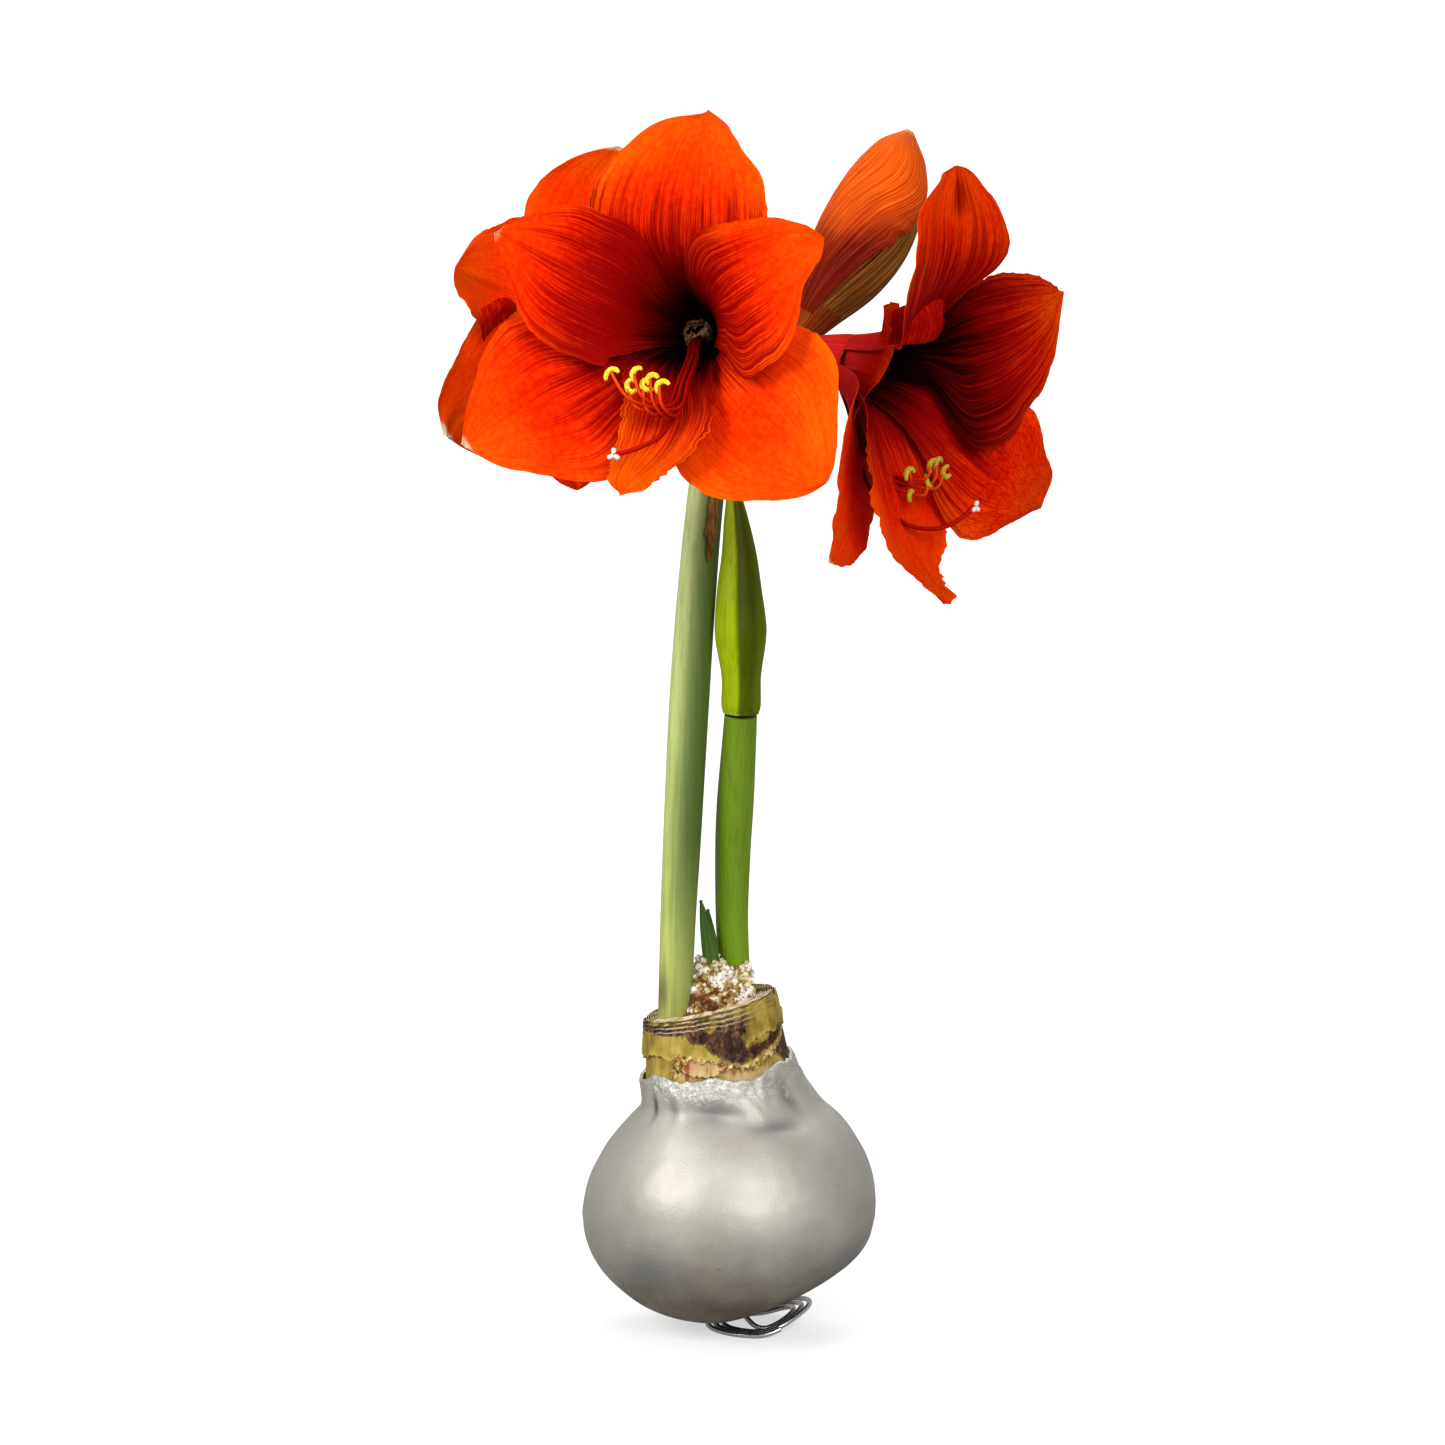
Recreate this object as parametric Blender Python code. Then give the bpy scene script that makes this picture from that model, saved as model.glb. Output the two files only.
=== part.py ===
# Waxed amaryllis bulb: a bulb dipped in silver wax on a coiled wire stand, with a scape in flower
# and a second scape still in bud. Metres, +Z up. The origin lies on the floor under the middle of
# the object, +X is to the right and +Y is away from the viewer. Azimuths turn from +X towards +Y.

import math
import random
from collections import namedtuple

import bmesh
import bpy
from mathutils import Matrix, Vector

MM = 0.001
GAP = 0.3 * MM                      # clearance between neighbouring pieces
WELD = 0.003 * MM                   # points nearer than this are one

# Bulb and wax
BULB_RADIUS = 52.4 * MM             # widest radius, over the wax
BULB_WAIST = 41.5 * MM              # height of the widest place
BULB_BOTTOM = 3.2 * MM              # lowest point of the wax
BASE_SLANT = 0.15                   # the underside rises to the right
SHOULDER_RISE = 50.0 * MM           # half height of the upper ellipse
NECK_RADIUS = 25.7 * MM             # neck at the cut
NECK_TOP = 109.5 * MM
NECK_SPREAD = 0.2232                # how fast the neck widens downwards
NECK_BLEND = 3.0 * MM
BULB_LEAN = [                       # height, x of the middle: the bulb leans a little
    (3.0 * MM, -12.0 * MM), (16.0 * MM, -8.6 * MM), (41.5 * MM, -7.2 * MM), (78.0 * MM, -5.8 * MM),
    (92.0 * MM, -10.2 * MM), (110.0 * MM, -13.6 * MM), (122.0 * MM, -14.8 * MM),
]
WAX_WALL = 1.9 * MM
WAX_TOP = 96.0 * MM                 # mean height of the ragged edge
WAX_SHOULDER = 84.0 * MM            # above this the rows follow the ragged edge
CUT_HEIGHT = 118.0 * MM             # middle of the cut neck
CUT_SLOPE = 0.24                    # the cut rises to the right
RIM_RADIUS = 22.9 * MM              # outer edge of the cut scales
BOWL_RADIUS = 16.6 * MM             # hollow inside the cut scales
BOWL_DEPTH = 6.0 * MM
BULB_SEGMENTS = 24
SKIN_SEGMENTS = 36

# Wire stand
WIRE_RADIUS = 1.2 * MM
COIL_CENTRE = Vector((4.0, 2.0, 0.0)) * MM
COIL_OUTER = 20.0 * MM
COIL_PITCH = 2.9 * MM               # how much each turn is smaller than the last
COIL_TURNS = 3
COIL_STEPS = 14                     # points for each turn
COIL_RISE = 8.2 * MM                # the right side is bent up against the bulb
WIRE_END = Vector((-7.0, 0.0, 34.0)) * MM
WIRE_RISE_START = COIL_TURNS * COIL_STEPS - 2    # the point from which the wire turns up into the bulb

# Leaves: middle of the base, tip, width at the base and how far the sides stand forward, in millimetres
LeafShape = namedtuple("LeafShape", "base tip width bow")
LEAF_FRONT = LeafShape(base=(-12.6, 1.6, 119.0), tip=(-17.6, 0.0, 155.7), width=7.5, bow=1.5)
LEAF_BACK = LeafShape(base=(-16.0, 5.4, 119.0), tip=(-16.4, 5.6, 151.5), width=6.0, bow=-1.2)
LEAF_OUTLINE = [(0.0, 1.0), (0.45, 0.92), (0.75, 0.62), (0.93, 0.28), (1.0, 0.06)]
LEAF_THICKNESS = 1.3 * MM
LEAF_ROWS = [0.0, 0.25, 0.5, 0.7, 0.85, 0.95, 1.0]

# Crust in the cut neck
CRUST_PEAK = 15.0 * MM              # the mound's height between the stems
CRUST_BASE = 6.0 * MM               # and its height elsewhere
CRUMBS = 15
CRUMB_RADII = (1.6 * MM, 3.0 * MM)

# Stems: x, y, z and radius, in millimetres
SCAPE_TALL = [
    (-27.2, -7.2, 104.0, 5.8), (-26.6, -7.0, 121.0, 6.0), (-25.6, -6.0, 149.0, 6.3),
    (-24.3, -5.0, 175.0, 6.7), (-21.5, -3.0, 228.0, 7.1), (-19.1, -1.0, 263.0, 6.9),
    (-15.9, 1.5, 298.0, 6.5), (-12.4, 3.8, 324.0, 6.5), (-10.8, 4.2, 334.0, 7.6),
]
SCAPE_SHORT = [
    (-4.4, 8.4, 106.0, 5.4), (-4.4, 8.4, 126.0, 5.4), (-6.6, 8.0, 141.0, 5.7), (-6.5, 7.4, 150.0, 5.9),
    (-6.0, 5.0, 174.4, 6.4), (-5.2, 2.5, 190.5, 6.6), (-3.9, -0.8, 211.8, 6.1), (-3.3, -2.4, 222.4, 5.8),
]
CLOSED_BUD = [
    (-3.3, -2.6, 223.2, 6.2), (-3.2, -2.8, 226.0, 6.8), (-3.1, -4.4, 236.2, 6.8), (-3.3, -5.8, 248.7, 8.6),
    (-3.4, -6.0, 254.8, 8.9), (-3.8, -5.8, 267.1, 7.7), (-3.9, -5.0, 279.1, 6.1), (-4.9, -4.4, 291.4, 4.3),
    (-5.6, -3.6, 299.0, 2.9), (-6.6, -3.0, 309.0, 1.0),
]
STEM_SIDES = 12
UMBEL = Vector((-10.2, 4.2, 337.0)) * MM
UMBEL_PROFILE = [(7.0, -4.0), (8.0, -1.0), (7.6, 2.0), (5.4, 4.6), (2.0, 5.8)]    # radius, height
STALK_RADIUS = 3.1 * MM
OVARY_RADIUS = 4.6 * MM
OVARY_LENGTH = 14.0 * MM
OVARY_PROFILE = [(0.25, 0.92), (0.6, 1.0), (1.0, 0.86)]     # share of the length, share of the radius

# Dried bracts that hang from under the umbel
BRACT_TOP = 333.0 * MM
BRACT_LENGTH = 55.0 * MM
BRACT_WIDTH = 10.0 * MM
BRACT_OUTLINE = [(0.0, 1.0), (0.3, 0.75), (0.7, 0.5), (1.0, 0.08)]
BRACT_ROWS = [0.0, 0.15, 0.3, 0.45, 0.6, 0.75, 0.9, 1.0]
BRACT_FRONT_SIDE = -62              # where each hangs round the stem, in degrees
BRACT_BACK_SIDE = 86

# Blooms. A bloom opens along its own axis, from the base of its tube. Seen from its front, a
# petal's azimuth is 0 to the right and 90 upwards; reach is how far its tip lies from the axis and
# rise how far along the axis, both in millimetres. Bend shifts the tip sideways, towards higher
# azimuths, cup is the curve across the open part in 1/mm, and flare is 1 for a petal that rolls
# back at its tip and 0 for one that stays straight.
Bloom = namedtuple("Bloom", "base heading lift petals anthers stigma")
Petal = namedtuple("Petal", "azimuth reach rise width bend inner cup flare")
FRONT = Bloom(
    base=(-11.3, -39.2, 355.9), heading=252, lift=8,
    petals=[
        Petal(87, 71, 58, 64, -7, False, 0.010, 1.0), Petal(212, 80, 60, 64, 0, False, 0.008, 1.0),
        Petal(319, 79, 60, 62, 0, False, 0.008, 1.0), Petal(160, 63, 62, 56, -9, True, 0.014, 1.0),
        Petal(26, 61, 62, 56, 0, True, 0.014, 1.0), Petal(261, 58, 66, 34, 0, True, 0.012, 1.0),
    ],
    anthers=(-13, -18, 65), stigma=(-10, -45, 77),
)
RIGHT = Bloom(
    base=(20.0, -16.0, 351.3), heading=326, lift=-9,
    petals=[
        Petal(100, 76, 58, 64, 7, False, 0.010, 1.0), Petal(326, 86, 60, 64, 0, False, 0.008, 1.0),
        Petal(228, 76, 50, 50, 4, False, 0.010, 0.1), Petal(32, 68, 62, 62, -6, True, 0.014, 1.0),
        Petal(270, 77, 62, 44, 15, True, 0.012, 0.4), Petal(166, 57, 50, 52, 0, True, 0.014, 0.1),
    ],
    anthers=(-12, -27, 65), stigma=(3, -39, 76),
)
BACK = Bloom(
    base=(-30.8, 39.0, 358.0), heading=120, lift=0,
    petals=[
        Petal(97, 65, 58, 66, 6, False, 0.010, 1.0), Petal(328, 69, 60, 60, -6, False, 0.008, 1.0),
        Petal(212, 68, 60, 60, 0, False, 0.008, 1.0), Petal(27, 53, 62, 52, -5, True, 0.014, 1.0),
        Petal(150, 62, 62, 54, 0, True, 0.014, 1.0), Petal(271, 63, 62, 40, 0, True, 0.012, 1.0),
    ],
    anthers=(-4, -22, 66), stigma=(6, -36, 78),
)
BLOOMS = {"front": FRONT, "right": RIGHT, "back": BACK}
PETAL_THICKNESS = 0.8 * MM
PETAL_ROOT_RADIUS = 7.4 * MM
PETAL_ROOT_HEIGHT = 8.0 * MM
WHORL_GAP = 1.9 * MM                # the inner petals stand this far inside the outer ones
PETAL_OUTLINE = [                   # along the petal, share of its half width
    (0.0, 0.13), (0.2, 0.30), (0.4, 0.62), (0.55, 0.88), (0.7, 1.0), (0.83, 0.90), (0.92, 0.66), (0.97, 0.40),
    (1.0, 0.05),
]
PETAL_RUFFLE = 1.1 * MM
PETAL_ROWS = [0.0, 0.17, 0.34, 0.5, 0.64, 0.77, 0.87, 0.95, 1.0]
PETAL_COLUMNS = 4
TUBE_PROFILE = [                    # radius, height: outside, rim and the cup that the stamens stand in
    (4.4, 0.0), (7.4, 6.0), (9.0, 13.0), (9.8, 20.0), (4.6, 20.0), (3.9, 13.0), (3.7, 9.5),
]

# Stamens and pistil
COLLAR_RADIUS = 3.2 * MM
COLLAR_HOLE = 0.9 * MM
COLLAR_BOTTOM = 9.5 * MM + GAP
COLLAR_TALL = 1.8 * MM
COLLAR_FROM = -55                   # the collar is a ring with a gap at its lower side, in degrees
COLLAR_TO = 235
COLLAR_SIDES = 10
STYLE_RADIUS = 0.7 * MM
FILAMENT_RADIUS = 0.55 * MM
FILAMENT_ANGLES = [-36, 12, 64, 116, 168, 216]
BUNDLE_SPARE = (3.0 * MM, 6.0 * MM)  # how much nearer the axis the stamens' middle line runs, start and end
BUNDLE_RADIUS = 2.2 * MM
BUNDLE_SPREAD = (7.0 * MM, 5.0 * MM)  # half width and half height of the group of anthers
THREAD_ROOM = 1.5 * MM              # from a petal's middle surface to the style's middle
TUBE_ROOM = [(9.5, 2.6), (13.0, 2.75), (20.0, 3.5), (28.0, 6.5), (40.0, 30.0), (60.0, 60.0)]

# Opening bud: base, tip, and the width of its folded petals
OPENING_BASE = Vector((12.6, 13.0, 351.0)) * MM
OPENING_TIP = Vector((56.9, 30.0, 427.8)) * MM
OPENING_RADIUS = 15.4 * MM
OPENING_BOW = Vector((4.0, 0.0, -2.4)) * MM     # how far the middle of the bud sags from a straight line
OPENING_PROFILE = [                  # share of the length, share of the radius
    (0.0, 0.30), (0.15, 0.55), (0.35, 0.88), (0.55, 1.0), (0.75, 0.84), (0.9, 0.48), (1.0, 0.05),
]
OPENING_ROOT = 4.4 * MM
OPENING_CORE = 0.6 * MM             # how far the core lies under the folded petals
FOLD_ROWS = [0.0, 0.2, 0.42, 0.64, 0.82, 0.94, 1.0]
FOLD_REACH = 74                     # half the angle that a folded petal covers, in degrees
FOLDS = [                            # each petal: its middle in degrees, millimetres out, and at the tip
    (100, 0.5, 0.4), (220, 1.7, 0.2), (340, 0.9, 1.6),
]


def clear_scene():
    for obj in list(bpy.data.objects):
        bpy.data.objects.remove(obj, do_unlink=True)


def make_material(name, colour, roughness, metallic=0.0):
    material = bpy.data.materials.new(name)
    material.use_nodes = True
    shader = material.node_tree.nodes["Principled BSDF"]
    shader.inputs["Base Color"].default_value = (*colour, 1.0)
    shader.inputs["Roughness"].default_value = roughness
    shader.inputs["Metallic"].default_value = metallic
    material.diffuse_color = (*colour, 1.0)
    return material


# Curves and small sums

def ease(low, high, value):
    share = min(1.0, max(0.0, (value - low) / (high - low)))
    return share * share * (3.0 - 2.0 * share)


def mix(a, b, share):
    return a + (b - a) * share


def through(points, value):
    """Smooth curve through (x, y) points, with flat running on outside them."""
    if value <= points[0][0]:
        return points[0][1]
    if value >= points[-1][0]:
        return points[-1][1]
    i = max(k for k in range(len(points) - 1) if points[k][0] <= value)
    x0, y0 = points[i]
    x1, y1 = points[i + 1]
    before = points[max(i - 1, 0)]
    after = points[min(i + 2, len(points) - 1)]
    slope0 = (y1 - before[1]) / (x1 - before[0])
    slope1 = (after[1] - y0) / (after[0] - x0)
    s = (value - x0) / (x1 - x0)
    run = x1 - x0
    return ((2 * s**3 - 3 * s**2 + 1) * y0 + (s**3 - 2 * s**2 + s) * run * slope0
            + (3 * s**2 - 2 * s**3) * y1 + (s**3 - s**2) * run * slope1)


def bezier(a, b, c, d, t):
    return (1 - t)**3 * a + 3 * (1 - t)**2 * t * b + 3 * (1 - t) * t**2 * c + t**3 * d


# Mesh builders

def solid(name, verts, faces, material):
    """A closed mesh object, with its faces turned outwards."""
    mesh = bpy.data.meshes.new(name)
    mesh.from_pydata([tuple(v) for v in verts], [], faces)
    work = bmesh.new()
    work.from_mesh(mesh)
    bmesh.ops.recalc_face_normals(work, faces=work.faces)
    if work.calc_volume(signed=True) < 0:
        bmesh.ops.reverse_faces(work, faces=work.faces)
    bmesh.ops.triangulate(work, faces=[f for f in work.faces if len(f.verts) > 3])
    work.to_mesh(mesh)
    work.free()
    mesh.materials.append(material)
    mesh.shade_smooth()
    mesh.set_sharp_from_angle(angle=math.radians(50))
    obj = bpy.data.objects.new(name, mesh)
    bpy.context.collection.objects.link(obj)
    return obj


def ring_solid(name, rings, material, start=None, end=None):
    """Rings of points joined in turn; start and end close it, at a point or at the ring's middle."""
    count = len(rings[0])
    verts = [p for ring in rings for p in ring]
    faces = []
    for r in range(len(rings) - 1):
        middle = (sum(rings[r], Vector()) + sum(rings[r + 1], Vector())) / (2 * count)
        for k in range(count):
            a = r * count + k
            b = r * count + (k + 1) % count
            # Split along the outer diagonal, so that nested skins are split alike.
            rising = (verts[a] + verts[b + count] - 2 * middle).length
            falling = (verts[b] + verts[a + count] - 2 * middle).length
            if rising >= falling:
                faces += [(a, b, b + count), (a, b + count, a + count)]
            else:
                faces += [(a, b, a + count), (b, b + count, a + count)]
    for pole, first, turn in ((start, 0, -1), (end, (len(rings) - 1) * count, 1)):
        ring = [Vector(p) for p in verts[first:first + count]]
        verts.append(pole if pole is not None else sum(ring, Vector()) / count)
        top = len(verts) - 1
        for k in range(count):
            pair = (first + k, first + (k + 1) % count)
            faces.append((pair[0], pair[1], top) if turn > 0 else (pair[1], pair[0], top))
    return solid(name, verts, faces, material)


def loop_solid(name, rings, material):
    """Rings of points joined in turn, with the last joined to the first again."""
    count = len(rings[0])
    verts = [p for ring in rings for p in ring]
    faces = []
    for r in range(len(rings)):
        for k in range(count):
            a, b = r * count + k, r * count + (k + 1) % count
            after = ((r + 1) % len(rings) - r) * count
            faces.append((a, b, b + after, a + after))
    return solid(name, verts, faces, material)


def tube_rings(path, radii, sides, squash=None):
    """Rings round a path, kept level where it runs flat. squash(step, angle) scales the radius."""
    rings = []
    side = None
    for i, point in enumerate(path):
        along = (path[min(i + 1, len(path) - 1)] - path[max(i - 1, 0)]).normalized()
        level = along.cross(Vector((0, 0, 1)))
        if side is None:
            side = level if level.length > 0.3 else Vector((1, 0, 0))
        elif level.length > 0.5 and level.dot(side) > 0:
            side = level
        side = (side - along * side.dot(along)).normalized()
        up = side.cross(along)
        ring = []
        for k in range(sides):
            angle = 2 * math.pi * (k + 0.5) / sides
            radius = radii[i] * (squash(i, angle) if squash else 1.0)
            ring.append(point + side * radius * math.cos(angle) + up * radius * math.sin(angle))
        rings.append(ring)
    return rings


def stem(name, stations, material, sides=STEM_SIDES, grow=0.0, steps=2, squash=None):
    """A round stem through stations of x, y, z and radius in millimetres."""
    heights = [s[2] for s in stations]
    levels = []
    for low, high in zip(heights, heights[1:]):
        levels += [mix(low, high, k / steps) for k in range(steps)]
    levels.append(heights[-1])
    path = []
    radii = []
    for z in levels:
        x = through([(s[2], s[0]) for s in stations], z)
        y = through([(s[2], s[1]) for s in stations], z)
        path.append(Vector((x, y, z)) * MM)
        radii.append(through([(s[2], s[3]) for s in stations], z) * MM + grow)
    return ring_solid(name, tube_rings(path, radii, sides, squash), material)


def blade(name, surface, ts, columns, thickness, material):
    """A thin closed sheet over surface(t, v), split into triangles alike on both faces."""
    rows = len(ts) - 1
    vs = [2.0 * k / columns - 1.0 for k in range(columns + 1)]
    middle = [[surface(t, v) for v in vs] for t in ts]
    front, back = [], []
    for i in range(rows + 1):
        for j in range(columns + 1):
            along = middle[min(i + 1, rows)][j] - middle[max(i - 1, 0)][j]
            across = middle[i][min(j + 1, columns)] - middle[i][max(j - 1, 0)]
            normal = across.cross(along).normalized()
            front.append(middle[i][j] + normal * thickness / 2)
            back.append(middle[i][j] - normal * thickness / 2)
    wide = columns + 1
    half = len(front)
    faces = []
    for i in range(rows):
        for j in range(columns):
            a, b = i * wide + j, i * wide + j + 1
            c, d = b + wide, a + wide
            faces += [(a, b, c), (a, c, d), (half + a, half + c, half + b), (half + a, half + d, half + c)]
    edge = [j for j in range(columns)]
    edge += [i * wide + columns for i in range(rows)]
    edge += [rows * wide + j for j in range(columns, 0, -1)]
    edge += [i * wide for i in range(rows, 0, -1)]
    for k, a in enumerate(edge):
        b = edge[(k + 1) % len(edge)]
        faces += [(a, half + a, half + b), (a, half + b, b)]
    return solid(name, front + back, faces, material)


def apply_boolean(obj, operation, others, solver="EXACT"):
    """Joins the other objects to obj, or cuts them from it, and removes them."""
    group = bpy.data.collections.new(obj.name + "_others")
    bpy.context.scene.collection.children.link(group)
    for other in others:
        for owner in other.users_collection:
            owner.objects.unlink(other)
        group.objects.link(other)
    modifier = obj.modifiers.new(operation.lower(), "BOOLEAN")
    modifier.operation = operation
    modifier.operand_type = "COLLECTION"
    modifier.collection = group
    modifier.solver = solver
    state = bpy.context.evaluated_depsgraph_get()
    result = bpy.data.meshes.new_from_object(obj.evaluated_get(state))
    obj.modifiers.clear()
    obj.data = result
    for other in others:
        bpy.data.objects.remove(other, do_unlink=True)
    bpy.data.collections.remove(group)
    tidy_mesh(obj)
    return obj


def shell_of(face):
    """All the faces that are joined to one by their edges."""
    found = {face}
    edge = [face]
    while edge:
        for side in edge.pop().edges:
            for other in side.link_faces:
                if other not in found:
                    found.add(other)
                    edge.append(other)
    return found


def tidy_mesh(obj):
    """Closes hairline slivers, drops loose scraps and sealed voids, and keeps only triangles."""
    work = bmesh.new()
    work.from_mesh(obj.data)
    bmesh.ops.remove_doubles(work, verts=work.verts, dist=WELD)
    bmesh.ops.dissolve_degenerate(work, dist=WELD / 2, edges=work.edges)
    bmesh.ops.triangulate(work, faces=[f for f in work.faces if len(f.verts) > 3])
    left = set(work.faces)
    shells = []
    while left:
        shell = shell_of(next(iter(left)))
        shells.append(shell)
        left -= shell
    shells.sort(key=len)
    for shell in shells[:-1]:
        bmesh.ops.delete(work, geom=list(shell), context="FACES")
    work.to_mesh(obj.data)
    work.free()
    obj.data.shade_smooth()
    obj.data.set_sharp_from_angle(angle=math.radians(50))


# Wire stand

def coil_point(angle):
    """A place on the coil's middle line; angle counts down from the outer end, in radians."""
    radius = COIL_OUTER - COIL_PITCH * angle / (2 * math.pi)
    x = COIL_CENTRE.x + radius * math.cos(angle + math.radians(70))
    y = COIL_CENTRE.y - radius * math.sin(angle + math.radians(70))
    lift = ease(2 * MM, 27 * MM, x)
    return Vector((x, y, WIRE_RADIUS + COIL_RISE * lift))


def wire_path():
    path = [coil_point(2 * math.pi * k / COIL_STEPS) for k in range(COIL_TURNS * COIL_STEPS + 1)]
    last = path[-1]
    along = (path[-1] - path[-2]).normalized()
    for k in range(1, 7):
        t = k / 6
        path.append(bezier(last, last + along * 9 * MM, WIRE_END - Vector((0, 0, 26 * MM)), WIRE_END, t))
    return path


def wire_tube(name, material, grow, first=0):
    # A ring's corners stand out to the radius over cos(pi/8), so that its flats lie at the radius.
    path = wire_path()[first:]
    path[-1] = path[-1] + (path[-1] - path[-2]).normalized() * grow
    corner = (WIRE_RADIUS + grow) / math.cos(math.pi / 8)
    return ring_solid(name, tube_rings(path, [corner] * len(path), 8), material)


# Bulb, wax and skin

def bulb_radius(z):
    """Radius over the wax at a height: an ellipse below, a wider one above, and the neck."""
    rise = BULB_WAIST - BULB_BOTTOM if z < BULB_WAIST else SHOULDER_RISE
    share = min(1.0, abs(z - BULB_WAIST) / rise)
    body = BULB_RADIUS * math.sqrt(1.0 - share * share)
    if z < BULB_WAIST:
        return body
    neck = NECK_RADIUS + max(NECK_TOP - z, -10 * MM) * NECK_SPREAD
    return 0.5 * (body + neck + math.sqrt((body - neck)**2 + NECK_BLEND**2))


def bulb_dent(angle, z):
    """Shallow folds round the shoulder and slow unevenness of the body."""
    shoulder = math.exp(-((z - 82 * MM) / (9 * MM))**2)
    slow = 0.5 * math.sin(2 * angle + 0.8) + 0.35 * math.sin(3 * angle - 1.1)
    body = ease(8 * MM, 25 * MM, z) * (1 - ease(70 * MM, 84 * MM, z))
    return MM * (0.7 * body * slow + shoulder * (0.9 * math.sin(5 * angle + 0.6) + 0.6 * math.sin(8 * angle)))


def wax_edge(angle):
    """Height of the wax's ragged top edge."""
    wave = 3.6 * math.cos(angle) + 1.1 * math.sin(3 * angle + 2.1) + 0.9 * math.sin(7 * angle + 0.4)
    return WAX_TOP + wave * MM


def cut_height(x):
    return CUT_HEIGHT + CUT_SLOPE * (x - through(BULB_LEAN, CUT_HEIGHT))


def profile_point(z, angle, inset):
    """A point of the bulb's skin, set in along the profile's normal."""
    step = 0.5 * MM
    low, high = max(z - step, BULB_BOTTOM), z + step
    slope = Vector((bulb_radius(high) - bulb_radius(low), high - low)).normalized()
    radius = bulb_radius(z) + bulb_dent(angle, z) - slope.y * inset
    height = z + slope.x * inset
    x = through(BULB_LEAN, height) + radius * math.cos(angle)
    low = 1.0 - ease(BULB_BOTTOM, BULB_WAIST, z)
    height += BASE_SLANT * low * max(0.0, x - through(BULB_LEAN, BULB_BOTTOM))
    return Vector((x, radius * math.sin(angle), height))


def bulb_rows():
    """Heights of the rows from near the bottom to the waist and on to the shoulder."""
    low = BULB_WAIST - BULB_BOTTOM
    rows = [BULB_WAIST - low * math.cos(math.pi / 2 * k / 6) for k in range(1, 7)]
    return rows + [mix(BULB_WAIST, WAX_SHOULDER, k / 5) for k in range(1, 6)]


def bulb_shell(inset, top_rows):
    """Rings of the bulb's skin up to the ragged edge of the wax."""
    angles = [2 * math.pi * k / BULB_SEGMENTS for k in range(BULB_SEGMENTS)]
    rings = [[profile_point(z, a, inset) for a in angles] for z in bulb_rows()]
    for k in range(1, top_rows + 1):
        rings.append([profile_point(mix(WAX_SHOULDER, wax_edge(a), k / top_rows), a, inset) for a in angles])
    return rings


def bulb_pole(inset):
    height = BULB_BOTTOM + inset
    return Vector((through(BULB_LEAN, height), 0.0, height))


def make_wax(material):
    outer = bulb_shell(0.0, 2)
    inner = bulb_shell(WAX_WALL, 2)
    wax = ring_solid("wax_coat", outer + inner[::-1], material, bulb_pole(0.0), bulb_pole(WAX_WALL))
    hole = wire_tube("wire_hole", material, GAP, WIRE_RISE_START)
    return apply_boolean(wax, "DIFFERENCE", [hole])


def neck_point(angle, radius, lift):
    """A point near the cut: a radius from the neck's middle and a height above the sloping cut."""
    middle = through(BULB_LEAN, CUT_HEIGHT)
    x = middle + radius * math.cos(angle)
    return Vector((x, radius * math.sin(angle), cut_height(x) + lift))


def make_bulb(material):
    inset = WAX_WALL + 1.4 * GAP
    rings = bulb_shell(inset, 2)
    angles = [2 * math.pi * k / BULB_SEGMENTS for k in range(BULB_SEGMENTS)]
    rim = RIM_RADIUS
    for share in (0.35, 0.7):
        rings.append([mix(rings[-1][k], neck_point(a, rim, 0.0), share) for k, a in enumerate(angles)])
    # The cut edges of the scales stand up as rings, one inside the other.
    scales = [(1.0, 0.4), (0.94, 0.9), (0.90, -0.7), (0.85, 0.7), (0.80, -0.9), (0.76, 0.4)]
    for share, lift in scales:
        rings.append([neck_point(a, rim * share, lift * MM) for a in angles])
    rings.append([neck_point(a, BOWL_RADIUS, -BOWL_DEPTH) for a in angles])
    floor = neck_point(0.0, 0.0, -BOWL_DEPTH)
    bulb = ring_solid("bulb", rings, material, bulb_pole(inset), floor)
    cutters = [
        wire_tube("wire_hole", material, GAP, WIRE_RISE_START),
        stem("tall_hole", SCAPE_TALL[:4], material, grow=GAP),
        stem("short_hole", SCAPE_SHORT[:4], material, grow=GAP),
    ]
    cutters[1].location.z = -GAP
    cutters[2].location.z = -GAP
    return apply_boolean(bulb, "DIFFERENCE", cutters)


def make_skin(material):
    """The torn tunic: a thin band round the neck, lower where it still hangs on."""
    rings = []
    for share, out in ((0, 0.4), (0.5, 0.4), (1, 0.4), (1, 1.2), (0.5, 1.3), (0, 1.4)):
        ring = []
        for k in range(SKIN_SEGMENTS):
            angle = 2 * math.pi * k / SKIN_SEGMENTS
            torn = 0.45 + 0.22 * math.sin(angle * 2 + 2.0) + 0.10 * math.sin(5 * angle + 0.5)
            reach = mix(torn, 0.97 + 0.02 * math.sin(9 * angle), share)
            low = profile_point(wax_edge(angle), angle, WAX_WALL + GAP)
            wall = mix(low, neck_point(angle, RIM_RADIUS, 0.0), reach)
            outward = Vector((math.cos(angle), math.sin(angle), 0.0))
            ring.append(wall + outward * (out * (1 + 0.1 * math.sin(4 * angle))) * MM)
        rings.append(ring)
    return loop_solid("dry_skin", rings, material)


# Crust and leaves in the cut neck

def crust_height(x, y):
    """The mound's height above the sloping cut, highest between the stems round the leaves."""
    far = math.hypot(x + 15 * MM, y + 1 * MM) / (9 * MM)
    edge = math.hypot(x - through(BULB_LEAN, CUT_HEIGHT), y) / BOWL_RADIUS
    return CRUST_BASE * max(0.0, 1 - edge**4) + CRUST_PEAK * math.exp(-far**4)


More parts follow.
